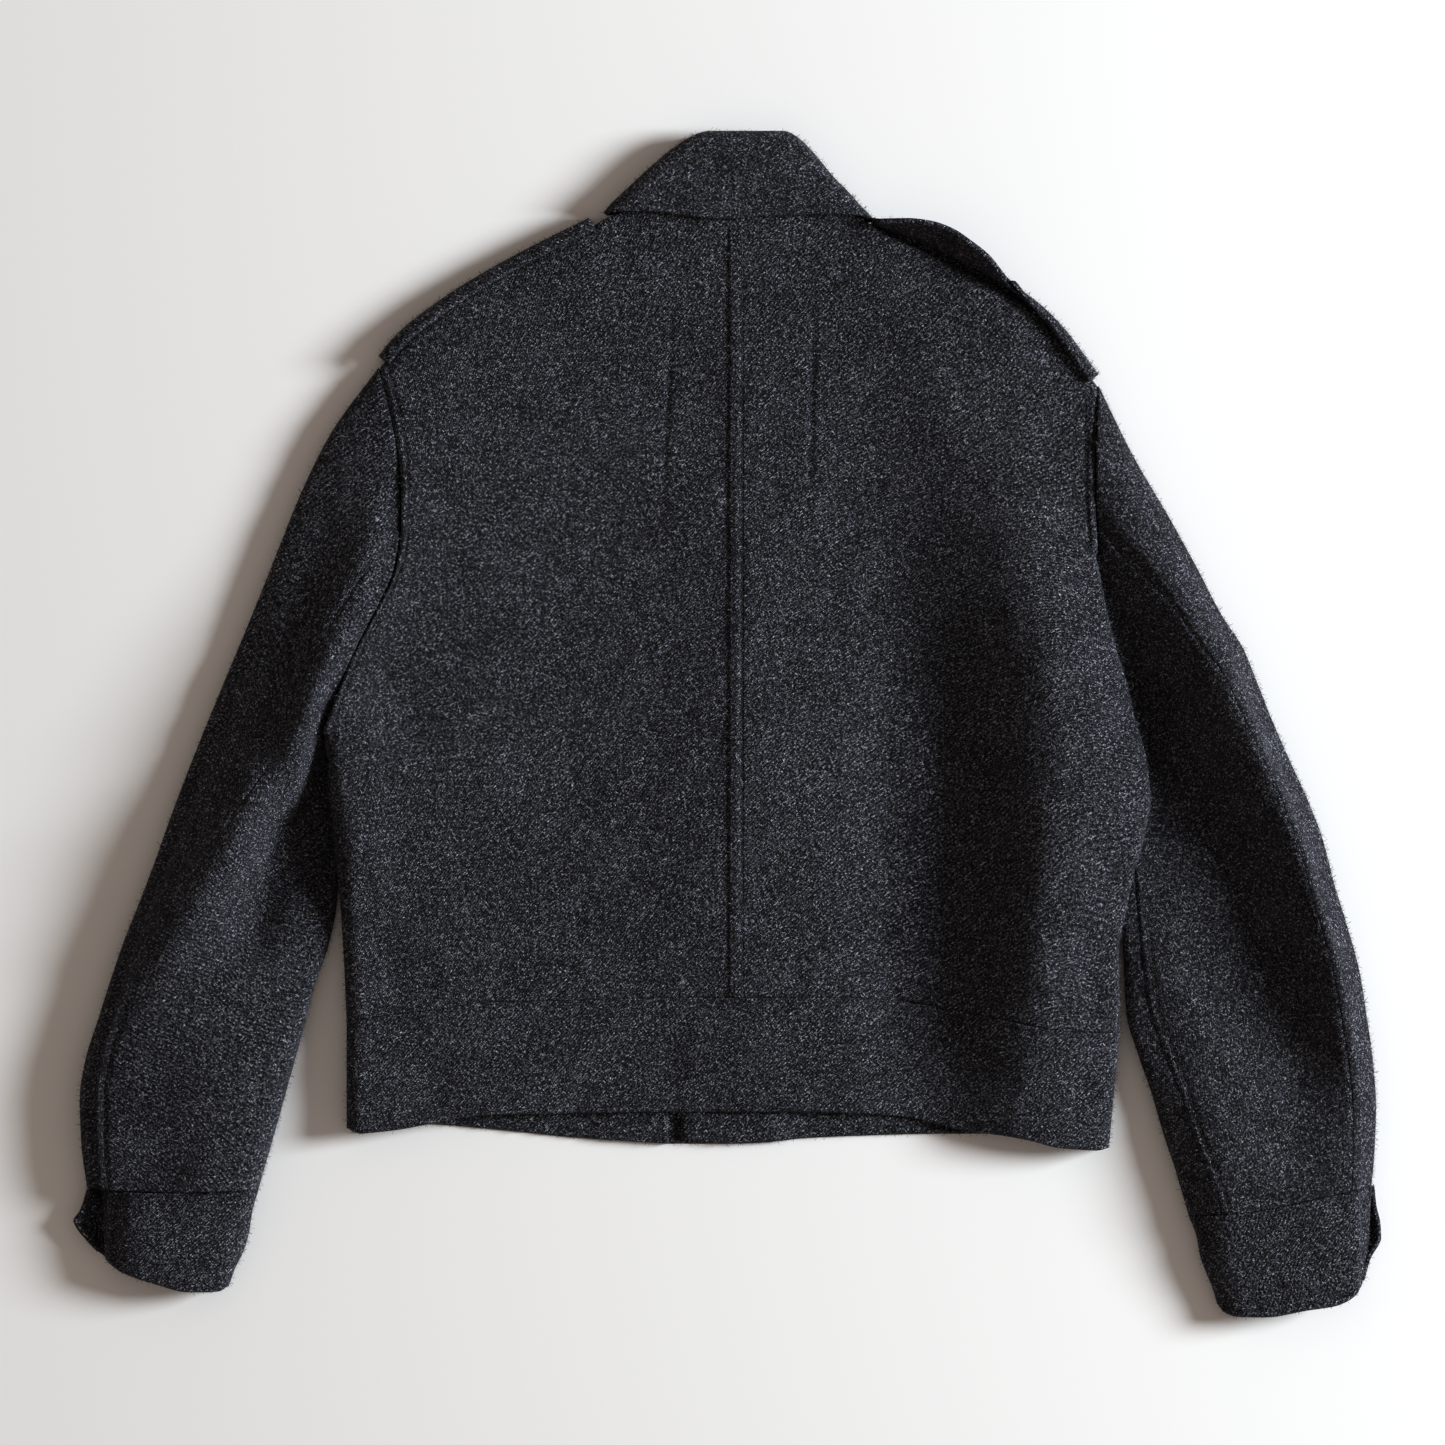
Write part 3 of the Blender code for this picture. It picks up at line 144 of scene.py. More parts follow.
# Seams and edges of the body
ARMHOLE_LEFT = (
    Place(-229, 235), Place(-224, 218), Place(-220, 199), Place(-216, 178), Place(-214, 154),
    Place(-214, 135), Place(-215, 116), Place(-220, 96), Place(-228, 79), Place(-241, 54),
    Place(-254, 25), Place(-265, -5),
)
SIDE_LEFT = (
    Place(-265, -5), Place(-265.3, -14), Place(-263, -30), Place(-257, -73), Place(-255, -112),
    Place(-253, -150), Place(-251, -195),
)
# From the underarm that the body hides, up to the shoulder
ARMHOLE_RIGHT = (
    Place(249, -9), Place(246, 16), Place(244, 49), Place(242, 82), Place(244, 108),
    Place(243, 128), Place(242, 158), Place(242, 187), Place(243, 207), Place(244, 223),
)
# The right side lies over the sleeve from here on
SIDE_RIGHT = (
    Place(244.6, 104), Place(248, 85), Place(253, 62), Place(263, 28), Place(271, -5),
    Place(278, -33), Place(279, -57), Place(274, -77), Place(265, -110), Place(261, -134),
    Place(258, -154), Place(259, -182), Place(259, -203),
)
FRONT_RIGHT_SIDE = (
    Place(242, 100), Place(239.5, 82), Place(241.5, 49), Place(243.5, 16), Place(246.5, -9),
    Place(249, -44), Place(248, -83), Place(246, -116), Place(244.5, -150), Place(246, -203),
)
TOP_EDGE = (
    Place(-229, 235), Place(-213, 255), Place(-202, 264), Place(-180, 280), Place(-150, 298),
    Place(-116, 316), Place(-88, 329.5), Place(-70, 337), Place(-50, 343), Place(5, 347),
    Place(61, 343), Place(80, 337), Place(95, 329), Place(110, 321), Place(131, 312),
    Place(154, 300), Place(176, 289), Place(193, 279), Place(206, 270), Place(217, 259),
    Place(226, 248), Place(234, 237), Place(244, 223),
)
NECK_LEFT = -84.0
NECK_RIGHT = 92.0
FRONT_NECK = 329.0  # the hidden fronts start here, below the collar's wings
WAIST_SEAM = (
    Place(-251, -195), Place(-236, -193), Place(-193, -188), Place(-158, -183), Place(-107, -182),
    Place(-13, -180), Place(79, -180), Place(127, -185), Place(180, -194), Place(226, -202),
    Place(259, -203),
)
HEM_BACK = (
    Place(-251, -266), Place(-240, -270), Place(-222, -268), Place(-193, -263),
    Place(-166, -258), Place(-107, -257), Place(-41, -256), Place(59, -256), Place(114, -259),
    Place(133, -263), Place(163, -269), Place(190, -272), Place(218, -279), Place(241, -281),
    Place(252, -279),
)
HEM_FRONT_LEFT = (
    Place(-241, -265), Place(-193, -264), Place(-166, -266), Place(-124, -271),
    Place(-84, -274), Place(-31, -277), Place(10, -277), Place(30, -276),
)
HEM_FRONT_RIGHT = (
    Place(-30, -274), Place(10, -277), Place(55, -273), Place(109, -271), Place(172, -270),
    Place(242, -275),
)

BACK_SECTIONS = (
    BackSection(0.00, 14, 13.5, 13, 12.5, 13, 0.80, 13, 0.93, 14, 14),
    BackSection(0.10, 16.5, 14, 11.5, 11, 11.5, 0.80, 12.5, 0.93, 16, 18),
    BackSection(0.20, 20, 15.5, 9.5, 9.4, 9.5, 0.80, 11, 0.93, 20, 21),
    BackSection(0.35, 22, 16, 8.6, 9.1, 8.6, 0.79, 9, 0.93, 26, 23),
    BackSection(0.50, 21, 16, 8.4, 9.1, 8.4, 0.79, 8.5, 0.93, 30, 25),
    BackSection(0.65, 20, 16, 8.4, 9.1, 8.4, 0.80, 8.5, 0.925, 31, 25),
    BackSection(0.80, 20, 15, 8.4, 9.1, 8.4, 0.81, 9, 0.925, 29, 24),
    BackSection(1.00, 20, 15, 9.0, 9.1, 9.5, 0.79, 10, 0.915, 23, 20),
)
BAND_SECTIONS = (
    BackSection(0.0, 20, 15, 9.2, 9.2, 9.6, 0.79, 10, 0.915, 23, 20),
    BackSection(1.0, 18, 14, 9.6, 9.3, 10.5, 0.79, 10, 0.90, 17, 17),
)

# Sleeves: edges by station, from the armhole to the cuff's seam
SLEEVE_LEFT_OUTER = (
    Station(0.0, -230, 235), Station(0.03, -248, 214), Station(0.07, -267, 181),
    Station(0.12, -283, 148), Station(0.2, -302, 100), Station(0.28, -323, 49),
    Station(0.38, -345, -4), Station(0.47, -363, -50), Station(0.58, -382, -103),
    Station(0.68, -400, -149), Station(0.77, -414, -192), Station(0.84, -424, -225),
    Station(0.89, -427, -248), Station(0.94, -426, -275), Station(1.0, -422, -306),
)
SLEEVE_LEFT_INNER = (
    Station(0.0, -266, -5), Station(0.055, -268, -10), Station(0.12, -268.3, -16),
    Station(0.3, -264.5, -32), Station(0.5, -259.5, -73),
    Station(0.6, -258, -105), Station(0.68, -258.5, -126), Station(0.74, -265, -154),
    Station(0.8, -274, -180), Station(0.86, -281, -213), Station(0.91, -290, -240),
    Station(0.95, -299, -275), Station(1.0, -308, -306),
)
SLEEVE_RIGHT_OUTER = (
    Station(0.0, 245, 223), Station(0.03, 257, 197), Station(0.07, 275, 164),
    Station(0.15, 304, 115), Station(0.2, 320, 82), Station(0.28, 341, 49),
    Station(0.36, 354, 16), Station(0.43, 368, -17), Station(0.5, 383, -50),
    Station(0.57, 395, -83), Station(0.63, 403, -116), Station(0.7, 414, -149),
    Station(0.76, 420, -182), Station(0.82, 425, -215), Station(0.88, 428, -248),
    Station(0.94, 427, -281), Station(1.0, 425, -304),
)
SLEEVE_RIGHT_INNER = (
    Station(0.0, 249.5, -9), Station(0.3, 255, -44), Station(0.5, 258, -83),
    Station(0.57, 259.5, -116), Station(0.64, 261, -149), Station(0.7, 262.5, -182),
    Station(0.74, 264, -199), Station(0.8, 275, -228), Station(0.88, 286, -266),
    Station(0.94, 294, -290), Station(1.0, 304, -324),
)
CUFF_SEAM_LEFT = (Place(-422, -306), Place(-365, -308), Place(-308, -306))
CUFF_SEAM_RIGHT = (Place(304, -324), Place(342, -321), Place(391, -311), Place(425, -304))

SLEEVE_LEFT_SECTIONS = (
    Section(0.00, 14, 0.30, 21, 0.62, 34, 0.85, 28, 16),
    Section(0.20, 15, 0.33, 25, 0.66, 38, 0.86, 24, 14),
    Section(0.35, 16, 0.35, 28, 0.70, 40, 0.84, 15, 12),
    Section(0.50, 18, 0.22, 30, 0.46, 40, 0.64, 15, 11),
    Section(0.65, 20, 0.12, 28, 0.28, 36, 0.55, 20, 12),
    Section(0.80, 24, 0.10, 30, 0.25, 34, 0.65, 27, 17),
    Section(0.90, 26, 0.10, 30, 0.25, 33, 0.70, 28, 21),
    Section(1.00, 22, 0.10, 26, 0.30, 29, 0.75, 26, 20),
)
SLEEVE_RIGHT_SECTIONS = (
    Section(0.00, 8, 0.46, 8.5, 0.56, 16, 0.72, 22, 14),
    Section(0.20, 8, 0.38, 8.7, 0.60, 20, 0.84, 33, 22),
    Section(0.35, 8, 0.26, 8.7, 0.55, 25, 0.85, 42, 26),
    Section(0.50, 8, 0.22, 8.7, 0.55, 27, 0.86, 46, 30),
    Section(0.65, 9, 0.46, 15, 0.70, 30, 0.90, 44, 30),
    Section(0.80, 12, 0.50, 18, 0.70, 24, 0.90, 36, 28),
    Section(0.90, 13, 0.30, 22, 0.60, 25, 0.88, 31, 25),
    Section(1.00, 14, 0.20, 22, 0.60, 26, 0.88, 27, 22),
)
CUFF_LEFT_SECTIONS = (
    Section(0.0, 22, 0.10, 26, 0.30, 29, 0.75, 26, 20),
    Section(1.0, 16, 0.10, 19, 0.40, 22, 0.75, 20, 15),
)
CUFF_RIGHT_SECTIONS = (
    Section(0.0, 14, 0.20, 22, 0.60, 26, 0.88, 27, 22),
    Section(1.0, 12, 0.20, 17, 0.60, 20, 0.88, 20, 15),
)


class SeamPlace(NamedTuple):
    """Where a long seam crosses a sleeve's section: share of the way down, share across."""

    at: float
    across: float


HINDARM_LEFT = (
    SeamPlace(0.0, 0.45), SeamPlace(0.2, 0.48), SeamPlace(0.35, 0.50), SeamPlace(0.5, 0.34),
    SeamPlace(0.65, 0.15), SeamPlace(0.8, 0.12), SeamPlace(1.0, 0.13),
)
HINDARM_RIGHT = (
    SeamPlace(0.0, 0.60), SeamPlace(0.2, 0.80), SeamPlace(0.35, 0.85), SeamPlace(0.5, 0.87),
    SeamPlace(0.8, 0.88), SeamPlace(1.0, 0.88),
)
FOREARM_RIGHT = (
    SeamPlace(0.0, 0.07), SeamPlace(0.6, 0.08), SeamPlace(0.8, 0.12), SeamPlace(0.9, 0.14),
    SeamPlace(1.0, 0.18),
)

CUFF_LEFT_BOTTOM = (
    Place(-410, -352), Place(-402, -359), Place(-391, -364), Place(-375, -369),
    Place(-354, -374), Place(-336, -374), Place(-328, -370),
)
CUFF_LEFT_OUTER = (Place(-411, -306), Place(-411, -331), Place(-410, -352))
CUFF_LEFT_INNER = (
    Place(-308, -306), Place(-312, -319), Place(-315, -337), Place(-319, -349),
    Place(-325, -361), Place(-328, -370),
)
CUFF_RIGHT_BOTTOM = (
    Place(323, -382), Place(328, -388), Place(338, -390.6), Place(354, -390.6),
    Place(382, -386), Place(401, -383), Place(414, -376), Place(419, -368),
)
CUFF_RIGHT_INNER = (
    Place(304, -324), Place(308, -333), Place(312, -352), Place(320, -372), Place(323, -382),
)
CUFF_RIGHT_OUTER = (
    Place(425, -304), Place(424, -321), Place(423, -341), Place(420, -358), Place(419, -368),
)


class TabReach(NamedTuple):
    """How far a cuff's loose tab stands out, by share of the cuff's height."""

    at: float
    reach: float


TAB_LEFT = (
    TabReach(0.0, 11), TabReach(0.35, 15), TabReach(0.75, 23), TabReach(0.9, 19),
    TabReach(1.0, 9),
)
TAB_RIGHT = (
    TabReach(0.0, 1.5), TabReach(0.3, 5), TabReach(0.66, 11.5), TabReach(0.78, 7), TabReach(1.0, 2),
)
TAB_OUT = (0.35, 0.7, 1.0)  # shares of the reach
TAB_UP = (1.0, 5.0, 11.0)  # heights there

# Collar, from its top fold to its lower edge
COLLAR_TOP = (Place(-24, 387), Place(-13, 390.6), Place(38, 390.6), Place(49, 385))
COLLAR_EDGE = (
    Place(-82, 337), Place(-75, 337), Place(-53, 337), Place(-34, 335), Place(-19, 333),
    Place(-4, 332), Place(26, 334), Place(57, 335), Place(81, 335), Place(96, 332),
)
COLLAR_LEFT = (
    Place(-24, 387), Place(-34, 381), Place(-50, 368), Place(-65, 354), Place(-73, 347),
    Place(-82, 337),
)
COLLAR_RIGHT = (
    Place(49, 385), Place(57, 377), Place(67, 364), Place(78, 354), Place(85, 345),
    Place(96, 332),
)
FALL_SECTIONS = (
    Section(0.00, 13, 0.2, 14, 0.5, 14, 0.8, 14, 13),
    Section(0.06, 17, 0.2, 18, 0.5, 18, 0.8, 18, 17),
    Section(0.30, 19, 0.2, 20.5, 0.5, 20.5, 0.8, 20, 19),
    Section(0.70, 20, 0.2, 20, 0.5, 19.5, 0.8, 19, 18.5),
    Section(1.00, 21, 0.2, 18.5, 0.5, 17.4, 0.8, 17.4, 17.5),
)
STAND_INSET = 5.0
STAND_TOP = 4.5  # how far below the top fold the stand begins
STAND_FLOOR = FALL + SEAM_GAP
STAND_SECTIONS = (
    Section(0.0, 11, 0.2, 12, 0.5, 12, 0.8, 12, 11),
    Section(0.4, 12, 0.2, 14, 0.5, 14, 0.8, 14, 12),
    Section(1.0, 12, 0.2, 12.7, 0.5, 12.7, 0.8, 12.7, 12),
)
STAND_GAP = 1.2  # under the fall, where the stand meets the neckline

# Shoulder straps: a section from the lip on the back to the foot at the floor, out from the shoulder


class StrapPoint(NamedTuple):
    """A point of a strap's section: distance out from the shoulder's edge, and height."""

    out: float
    up: float


STRAP_WRAPPED = (
    StrapPoint(-4.6, 17.8), StrapPoint(-1.0, 18.6), StrapPoint(3.0, 16.0), StrapPoint(4.8, 9.0),
    StrapPoint(4.6, 1.0),
)
STRAP_LEANING = (
    StrapPoint(20.0, 29.0), StrapPoint(16.6, 22.5), StrapPoint(13.0, 15.5),
    StrapPoint(9.0, 8.0), StrapPoint(5.6, 1.0),
)


class StrapStation(NamedTuple):
    """A station along a strap: share of its length, and how far it leans out, from 0 to 1."""

    at: float
    lean: float


STRAP_LEFT_LINE = (
    Place(-88.5, 329.5), Place(-116, 316), Place(-150, 298), Place(-180, 280), Place(-202, 264),
    Place(-213, 255), Place(-226, 239.5),
)
STRAP_RIGHT_LINE = (
    Place(99.5, 326.5), Place(110, 321), Place(131, 312), Place(154, 300), Place(176, 289),
    Place(193, 279), Place(206, 270), Place(217, 259), Place(226, 248), Place(234, 237),
    Place(241, 227.5),
)
STRAP_LEFT_STATIONS = (StrapStation(0.0, 0.0), StrapStation(1.0, 0.0))
STRAP_RIGHT_STATIONS = (
    StrapStation(0.0, 0.45), StrapStation(0.12, 0.85), StrapStation(0.25, 1.0),
    StrapStation(0.4, 0.85), StrapStation(0.55, 0.4), StrapStation(0.7, 0.12),
    StrapStation(1.0, 0.0),
)
STRAP_ROWS = 13

# Grid counts
SLEEVE_ROWS = 19
OUTER_COLUMNS = 5  # left sleeve, outer edge to hindarm seam
UNDER_COLUMNS = 6  # left sleeve, hindarm seam to inner edge
INNER_STRIP_COLUMNS = 1  # right sleeve, inner edge to forearm seam
MIDDLE_COLUMNS = 7  # right sleeve, forearm seam to hindarm seam
RIDGE_COLUMNS = 4  # right sleeve, hindarm seam to outer edge
SEAM_ROWS_RIGHT = 6  # rows of the body that meet the right sleeve at a seam in sight
SIDE_ROWS = 6
BACK_COLUMNS = (
    0.0, 0.05, 0.10, 0.17, 0.24, 0.31, 0.38, 0.44, 0.56, 0.62, 0.68, 0.74, 0.785, 0.83,
    0.87, 0.91, 0.95, 1.0,
)
TUCK_AFTER = 8  # the tuck's four columns come after this many of the back's


def hermite(start: Array, end: Array, start_slope: Array, end_slope: Array, share: Array) -> Array:
    """Cubic between two values.

    Args:
        start: Values where the share is 0.
        end: Values where the share is 1.
        start_slope: Slopes at the start, per whole span.
        end_slope: Slopes at the end, per whole span.
        share: Share of the span, from 0 to 1.

    Returns:
        The values at the share.
    """
    square = share * share
    cube = square * share
    return (
        (2 * cube - 3 * square + 1) * start
        + (cube - 2 * square + share) * start_slope
        + (3 * square - 2 * cube) * end
        + (cube - square) * end_slope
    )


def knot_slopes(knots: Array, values: Array) -> Array:
    """Slopes at the knots, flat at a turning point, so that a curve never passes its knots.

    Args:
        knots: Rising knot places.
        values: A value, or a layer of values, for each knot.

    Returns:
        Slopes in the shape of the values.
    """
    widths = np.diff(knots).reshape((-1,) + (1,) * (values.ndim - 1))
    slopes = np.diff(values, axis=0) / widths
    tangents = np.zeros_like(values)
    tangents[0], tangents[-1] = slopes[0], slopes[-1]
    before, after = slopes[:-1], slopes[1:]
    same_way = before * after > 0
    total = np.where(same_way, before + after, 1.0)
    tangents[1:-1] = np.where(same_way, 2 * before * after / total, 0.0)
    return tangents


def spans(knots: Array, at: Array) -> tuple[Array, Array]:
    """Finds the span that holds each value.

    Args:
        knots: Rising knot places.
        at: Values to place.

    Returns:
        The span's index and the share of it, for each value.
    """
    held = np.clip(at, knots[0], knots[-1])
    index = np.clip(np.searchsorted(knots, held, side="right") - 1, 0, len(knots) - 2)
    return index, (held - knots[index]) / (knots[index + 1] - knots[index])


def eased(knots: Sequence[float], values: Sequence, at: Array) -> Array:
    """Smooth curve through values at knots.

    Args:
        knots: Rising knot places.
        values: A value, or a row of values, for each knot.
        at: Places to read.

    Returns:
        The value at each place.
    """
    knots, values, at = np.asarray(knots, float), np.asarray(values, float), np.asarray(at, float)
    tangents = knot_slopes(knots, values)
    index, share = spans(knots, at)
    width = knots[index + 1] - knots[index]
    extra = (1,) * (values.ndim - 1)
    share, width = share.reshape(share.shape + extra), width.reshape(width.shape + extra)
    slopes = tangents[index] * width, tangents[index + 1] * width
    return hermite(values[index], values[index + 1], *slopes, share)


def blended(knots: Sequence[float], layers: Array, at: Array) -> Array:
    """Smooth blend between whole layers, each element read at its own place.

    Args:
        knots: Rising knot places, one for each layer.
        layers: Layers of values, stacked.
        at: The place to read for each element of a layer.

    Returns:
        One layer of values.
    """
    knots = np.asarray(knots, float)
    tangents = knot_slopes(knots, layers)
    index, share = spans(knots, at)
    width = knots[index + 1] - knots[index]

    def pick(stack: Array, which: Array) -> Array:
        """The chosen layer's value for each element."""
        return np.take_along_axis(stack, which[None], axis=0)[0]

    slopes = pick(tangents, index) * width, pick(tangents, index + 1) * width
    return hermite(pick(layers, index), pick(layers, index + 1), *slopes, share)


def along(points: Sequence) -> Curve:
    """A curve through places, read by share of its length."""
    points = np.array(points, float)
    lengths = np.linalg.norm(np.diff(points, axis=0), axis=1)
    knots = np.concatenate([[0.0], np.cumsum(lengths)]) / lengths.sum()
    return lambda shares: eased(knots, points, shares)


def by_x(points: Sequence) -> Curve:
    """A curve through places, read by share of its width."""
    points = np.array(points, float)

    def curve(shares: Array) -> Array:
        """Places at the shares."""
        x = points[0, 0] + np.asarray(shares, float) * (points[-1, 0] - points[0, 0])
        return np.stack([x, eased(points[:, 0], points[:, 1], x)], axis=-1)

    return curve


def by_station(stations: Sequence) -> Curve:
    """A sleeve's edge, read by share of the way from the armhole to the cuff."""
    table = np.array(stations, float)
    return lambda shares: eased(table[:, 0], table[:, 1:], shares)


def through(shares: Sequence[float], points: Sequence) -> Curve:
    """A curve made of straight runs between places at given shares."""
    points = np.asarray(points, float)

    def curve(at: Array) -> Array:
        """Places at the shares."""
        return np.stack([np.interp(at, shares, points[:, axis]) for axis in (0, 1)], axis=-1)

    return curve


def joined(curve: Curve, start: Array) -> Curve:
    """The curve with its start moved to a place, and its end left where it is."""
    return lambda at: curve(at) + (1 - at)[..., None] * (np.array(start) - curve(np.zeros(1))[0])


def unit(vectors: Array) -> Array:
    """The vectors at length one."""
    return vectors / np.maximum(np.linalg.norm(vectors, axis=-1, keepdims=True), 1e-9)


def sideways(directions: Array) -> Array:
    """Plan directions turned a quarter to the left."""
    return np.stack([-directions[..., 1], directions[..., 0]], axis=-1)


def shares(count: int) -> Array:
    """Even shares from 0 to 1."""
    return np.linspace(0.0, 1.0, count)


def seam(places: Sequence, down: Array) -> Array:
    """A long seam's share across a sleeve at each row."""
    table = np.array(places, float)
    return eased(table[:, 0], table[:, 1], down)


def pushed(curve: Curve, at: Array, distance: float) -> Array:
    """Places of a curve, moved to its left by a distance."""
    points = curve(at)
    run = unit(np.gradient(points, axis=0))
    return points + distance * sideways(run)


class Heights:
    """Height of the skin at any place of a piece, from a table with a row for each section."""

    def __init__(self, sections: Sequence) -> None:
        """Keeps the sections."""
        self.sections = sections

    def at(self, down: Array, across: Array) -> Array:
        """Reads the height.

        Args:
            down: Shares down the piece.
            across: Shares across it, in the same shape.

        Returns:
            Heights in that shape.
        """
        layers = np.stack([eased(*section.knots(), across) for section in self.sections])
        return blended([section.at for section in self.sections], layers, down)


@dataclass
class Plan:
    """A piece's outline seen from above: four edge curves, and every place between them.

    A higher fade lets the curve of the top and bottom edges die out sooner inside the piece.
    """

    top: Curve
    bottom: Curve
    left: Curve
    right: Curve
    fade: float = 1.0

    def place(self, down: Array, across: Array) -> Array:
        """Finds places.

        Args:
            down: Shares down the piece.
            across: Shares across it.

        Returns:
            Places, in the shape that the two broadcast to.
        """
        down, across = np.broadcast_arrays(down, across)
        s, w = down[..., None], across[..., None]
        ends = np.array([0.0, 1.0])
        (top_left, top_right), (low_left, low_right) = self.top(ends), self.bottom(ends)
        ruled = (1 - w) * self.left(down) + w * self.right(down)
        bow = self.top(across) - (1 - w) * top_left - w * top_right
        sag = self.bottom(across) - (1 - w) * low_left - w * low_right
        return ruled + (1 - s) ** self.fade * bow + s**self.fade * sag

    def width(self, down: Array) -> Array:
        """Length of the section line at each share down."""
        points = self.place(down[:, None], np.linspace(0, 1, 25)[None])
        return np.linalg.norm(np.diff(points, axis=1), axis=-1).sum(axis=1)


Leg = tuple[Array, Array]


class Tube:
    """A flattened tube: its upper skin at the table's heights, its lower skin level."""

    def __init__(self, plan: Plan, sections: Sequence, down: Array, floor: float = 0.0) -> None:
        """Works out the tube's side rolls.

        Args:
            plan: The outline from above.
            sections: Heights of the upper skin.
            down: Share of the way down for each row.
            floor: Height of the lower skin.
        """
        self.plan, self.heights, self.down, self.floor = plan, Heights(sections), down, floor
        self.length = plan.width(down)
        edge = np.zeros_like(down)
        self.left_roll = (self.heights.at(down, edge) - floor) / 2
        self.right_roll = (self.heights.at(down, edge + 1) - floor) / 2
        self.first = self.left_roll / self.length
        self.last = 1 - self.right_roll / self.length

    def upper(self, start: Array, end: Array, count: int) -> Leg:
        """A leg over the upper skin.

        Args:
            start: Share across where it begins, for each row.
            end: Share across where it ends.
            count: Number of steps.

        Returns:
            Shares across, and heights.
        """
        across = start[:, None] + (end - start)[:, None] * np.linspace(0, 1, count + 1)
        return across, self.heights.at(np.broadcast_to(self.down[:, None], across.shape), across)

    def lower(self, start: Array, end: Array, count: int) -> Leg:
        """A leg over the lower skin, with the arguments and the result of upper."""
        across = start[:, None] + (end - start)[:, None] * np.linspace(0, 1, count + 1)
        return across, np.full_like(across, self.floor)

    def roll(self, side: int, start: float = 90.0, end: float = -90.0) -> Leg:
        """A leg round one side.

        Args:
            side: -1 for the left side, 1 for the right one.
            start: Angle where it begins. 90 is on top and -90 is underneath.
            end: Angle where it ends.

        Returns:
            Shares across, and heights.
        """
        angles = np.radians(np.linspace(start, end, ROLL_STEPS + 1))[None]
        radius = (self.left_roll if side < 0 else self.right_roll)[:, None]
        inset = radius * (1 - np.cos(angles)) / self.length[:, None]
        height = self.floor + radius + radius * np.sin(angles)
        return (inset if side < 0 else 1 - inset), height

    def skin(self, legs: Sequence[Leg]) -> Array:
        """Points along legs that join end to end, a row of points for each share down."""
        joined_legs = [legs[0]] + [(across[:, 1:], height[:, 1:]) for across, height in legs[1:]]
        across = np.concatenate([leg[0] for leg in joined_legs], axis=1)
        height = np.concatenate([leg[1] for leg in joined_legs], axis=1)
        down = np.broadcast_to(self.down[:, None], across.shape)
        return np.concatenate([self.plan.place(down, across), height[..., None]], axis=-1)


class EdgeKind(Enum):
    """How a border of a piece ends."""

    SEAM = "sewn to its neighbour"
    TURNED = "free, turned in and pressed"
    HIDDEN = "out of sight"


@dataclass(frozen=True)
class Border:
    """One border of a piece, with its topstitching a distance inside it. None is stitched at 0."""

    kind: EdgeKind = EdgeKind.HIDDEN
    stitch: float = 0.0
    puckers: float = 0.3


@dataclass(frozen=True)
class Focus:
    """A place on the way across or down a piece that takes a closer mesh."""

    at: float
    reach: float
    step: float = 1.5


@dataclass
class Form:
    """A piece's skin as a coarse grid of points, and what happens at its borders."""

    name: str
    grid: Array
    thickness: float
    top: Border = field(default_factory=Border)
    bottom: Border = field(default_factory=Border)
    left: Border = field(default_factory=Border)
    right: Border = field(default_factory=Border)
    spacing: float = 4.4
    focus_across: tuple[Focus, ...] = ()
    focus_down: tuple[Focus, ...] = ()
    nap: float = 1.0
    creased: bool = True


class Sleeve:
    """A sleeve's two panels between its armhole and its cuff."""

    def __init__(self, cut: "SleeveCut") -> None:
        """Lays out the tube, and the shares at which the body meets its first row.

        Args:
            cut: The sleeve's own places and sections.
        """
        down = shares(SLEEVE_ROWS)
        edges = by_station(cut.left), by_station(cut.right)
        rough = Plan(along(cut.armhole), along(cut.cuff_seam), *edges, cut.fade)
        first = Tube(rough, cut.sections, down)
        marks, counts = [first.first[0]], []
        for places, count in cut.groups:
            counts.append(count)
            if places is not None:
                marks.append(seam(places, down[:1])[0])
        marks.append(first.last[0])
        meeting = [marks[0]]
        for start, end, count in zip(marks, marks[1:], counts):
            meeting.extend(start + (end - start) * shares(count + 1)[1:])
        at = np.concatenate([[0.0], meeting, [1.0]])
        self.seam_points = along(cut.armhole)(at)
        top = through(at, pushed(along(cut.armhole), at, -ARMHOLE_GAP))
        plan = Plan(top, along(cut.cuff_seam), *edges, cut.fade)
        self.tube = Tube(plan, cut.sections, down)
        self.tube.first[0], self.tube.last[0] = marks[0], marks[-1]


class SleeveCut(NamedTuple):
    """A sleeve's places and sections. Each group is a seam and the columns before it."""

    armhole: Sequence
    cuff_seam: Sequence
    left: Sequence
    right: Sequence
    sections: Sequence
    groups: Sequence
    fade: float


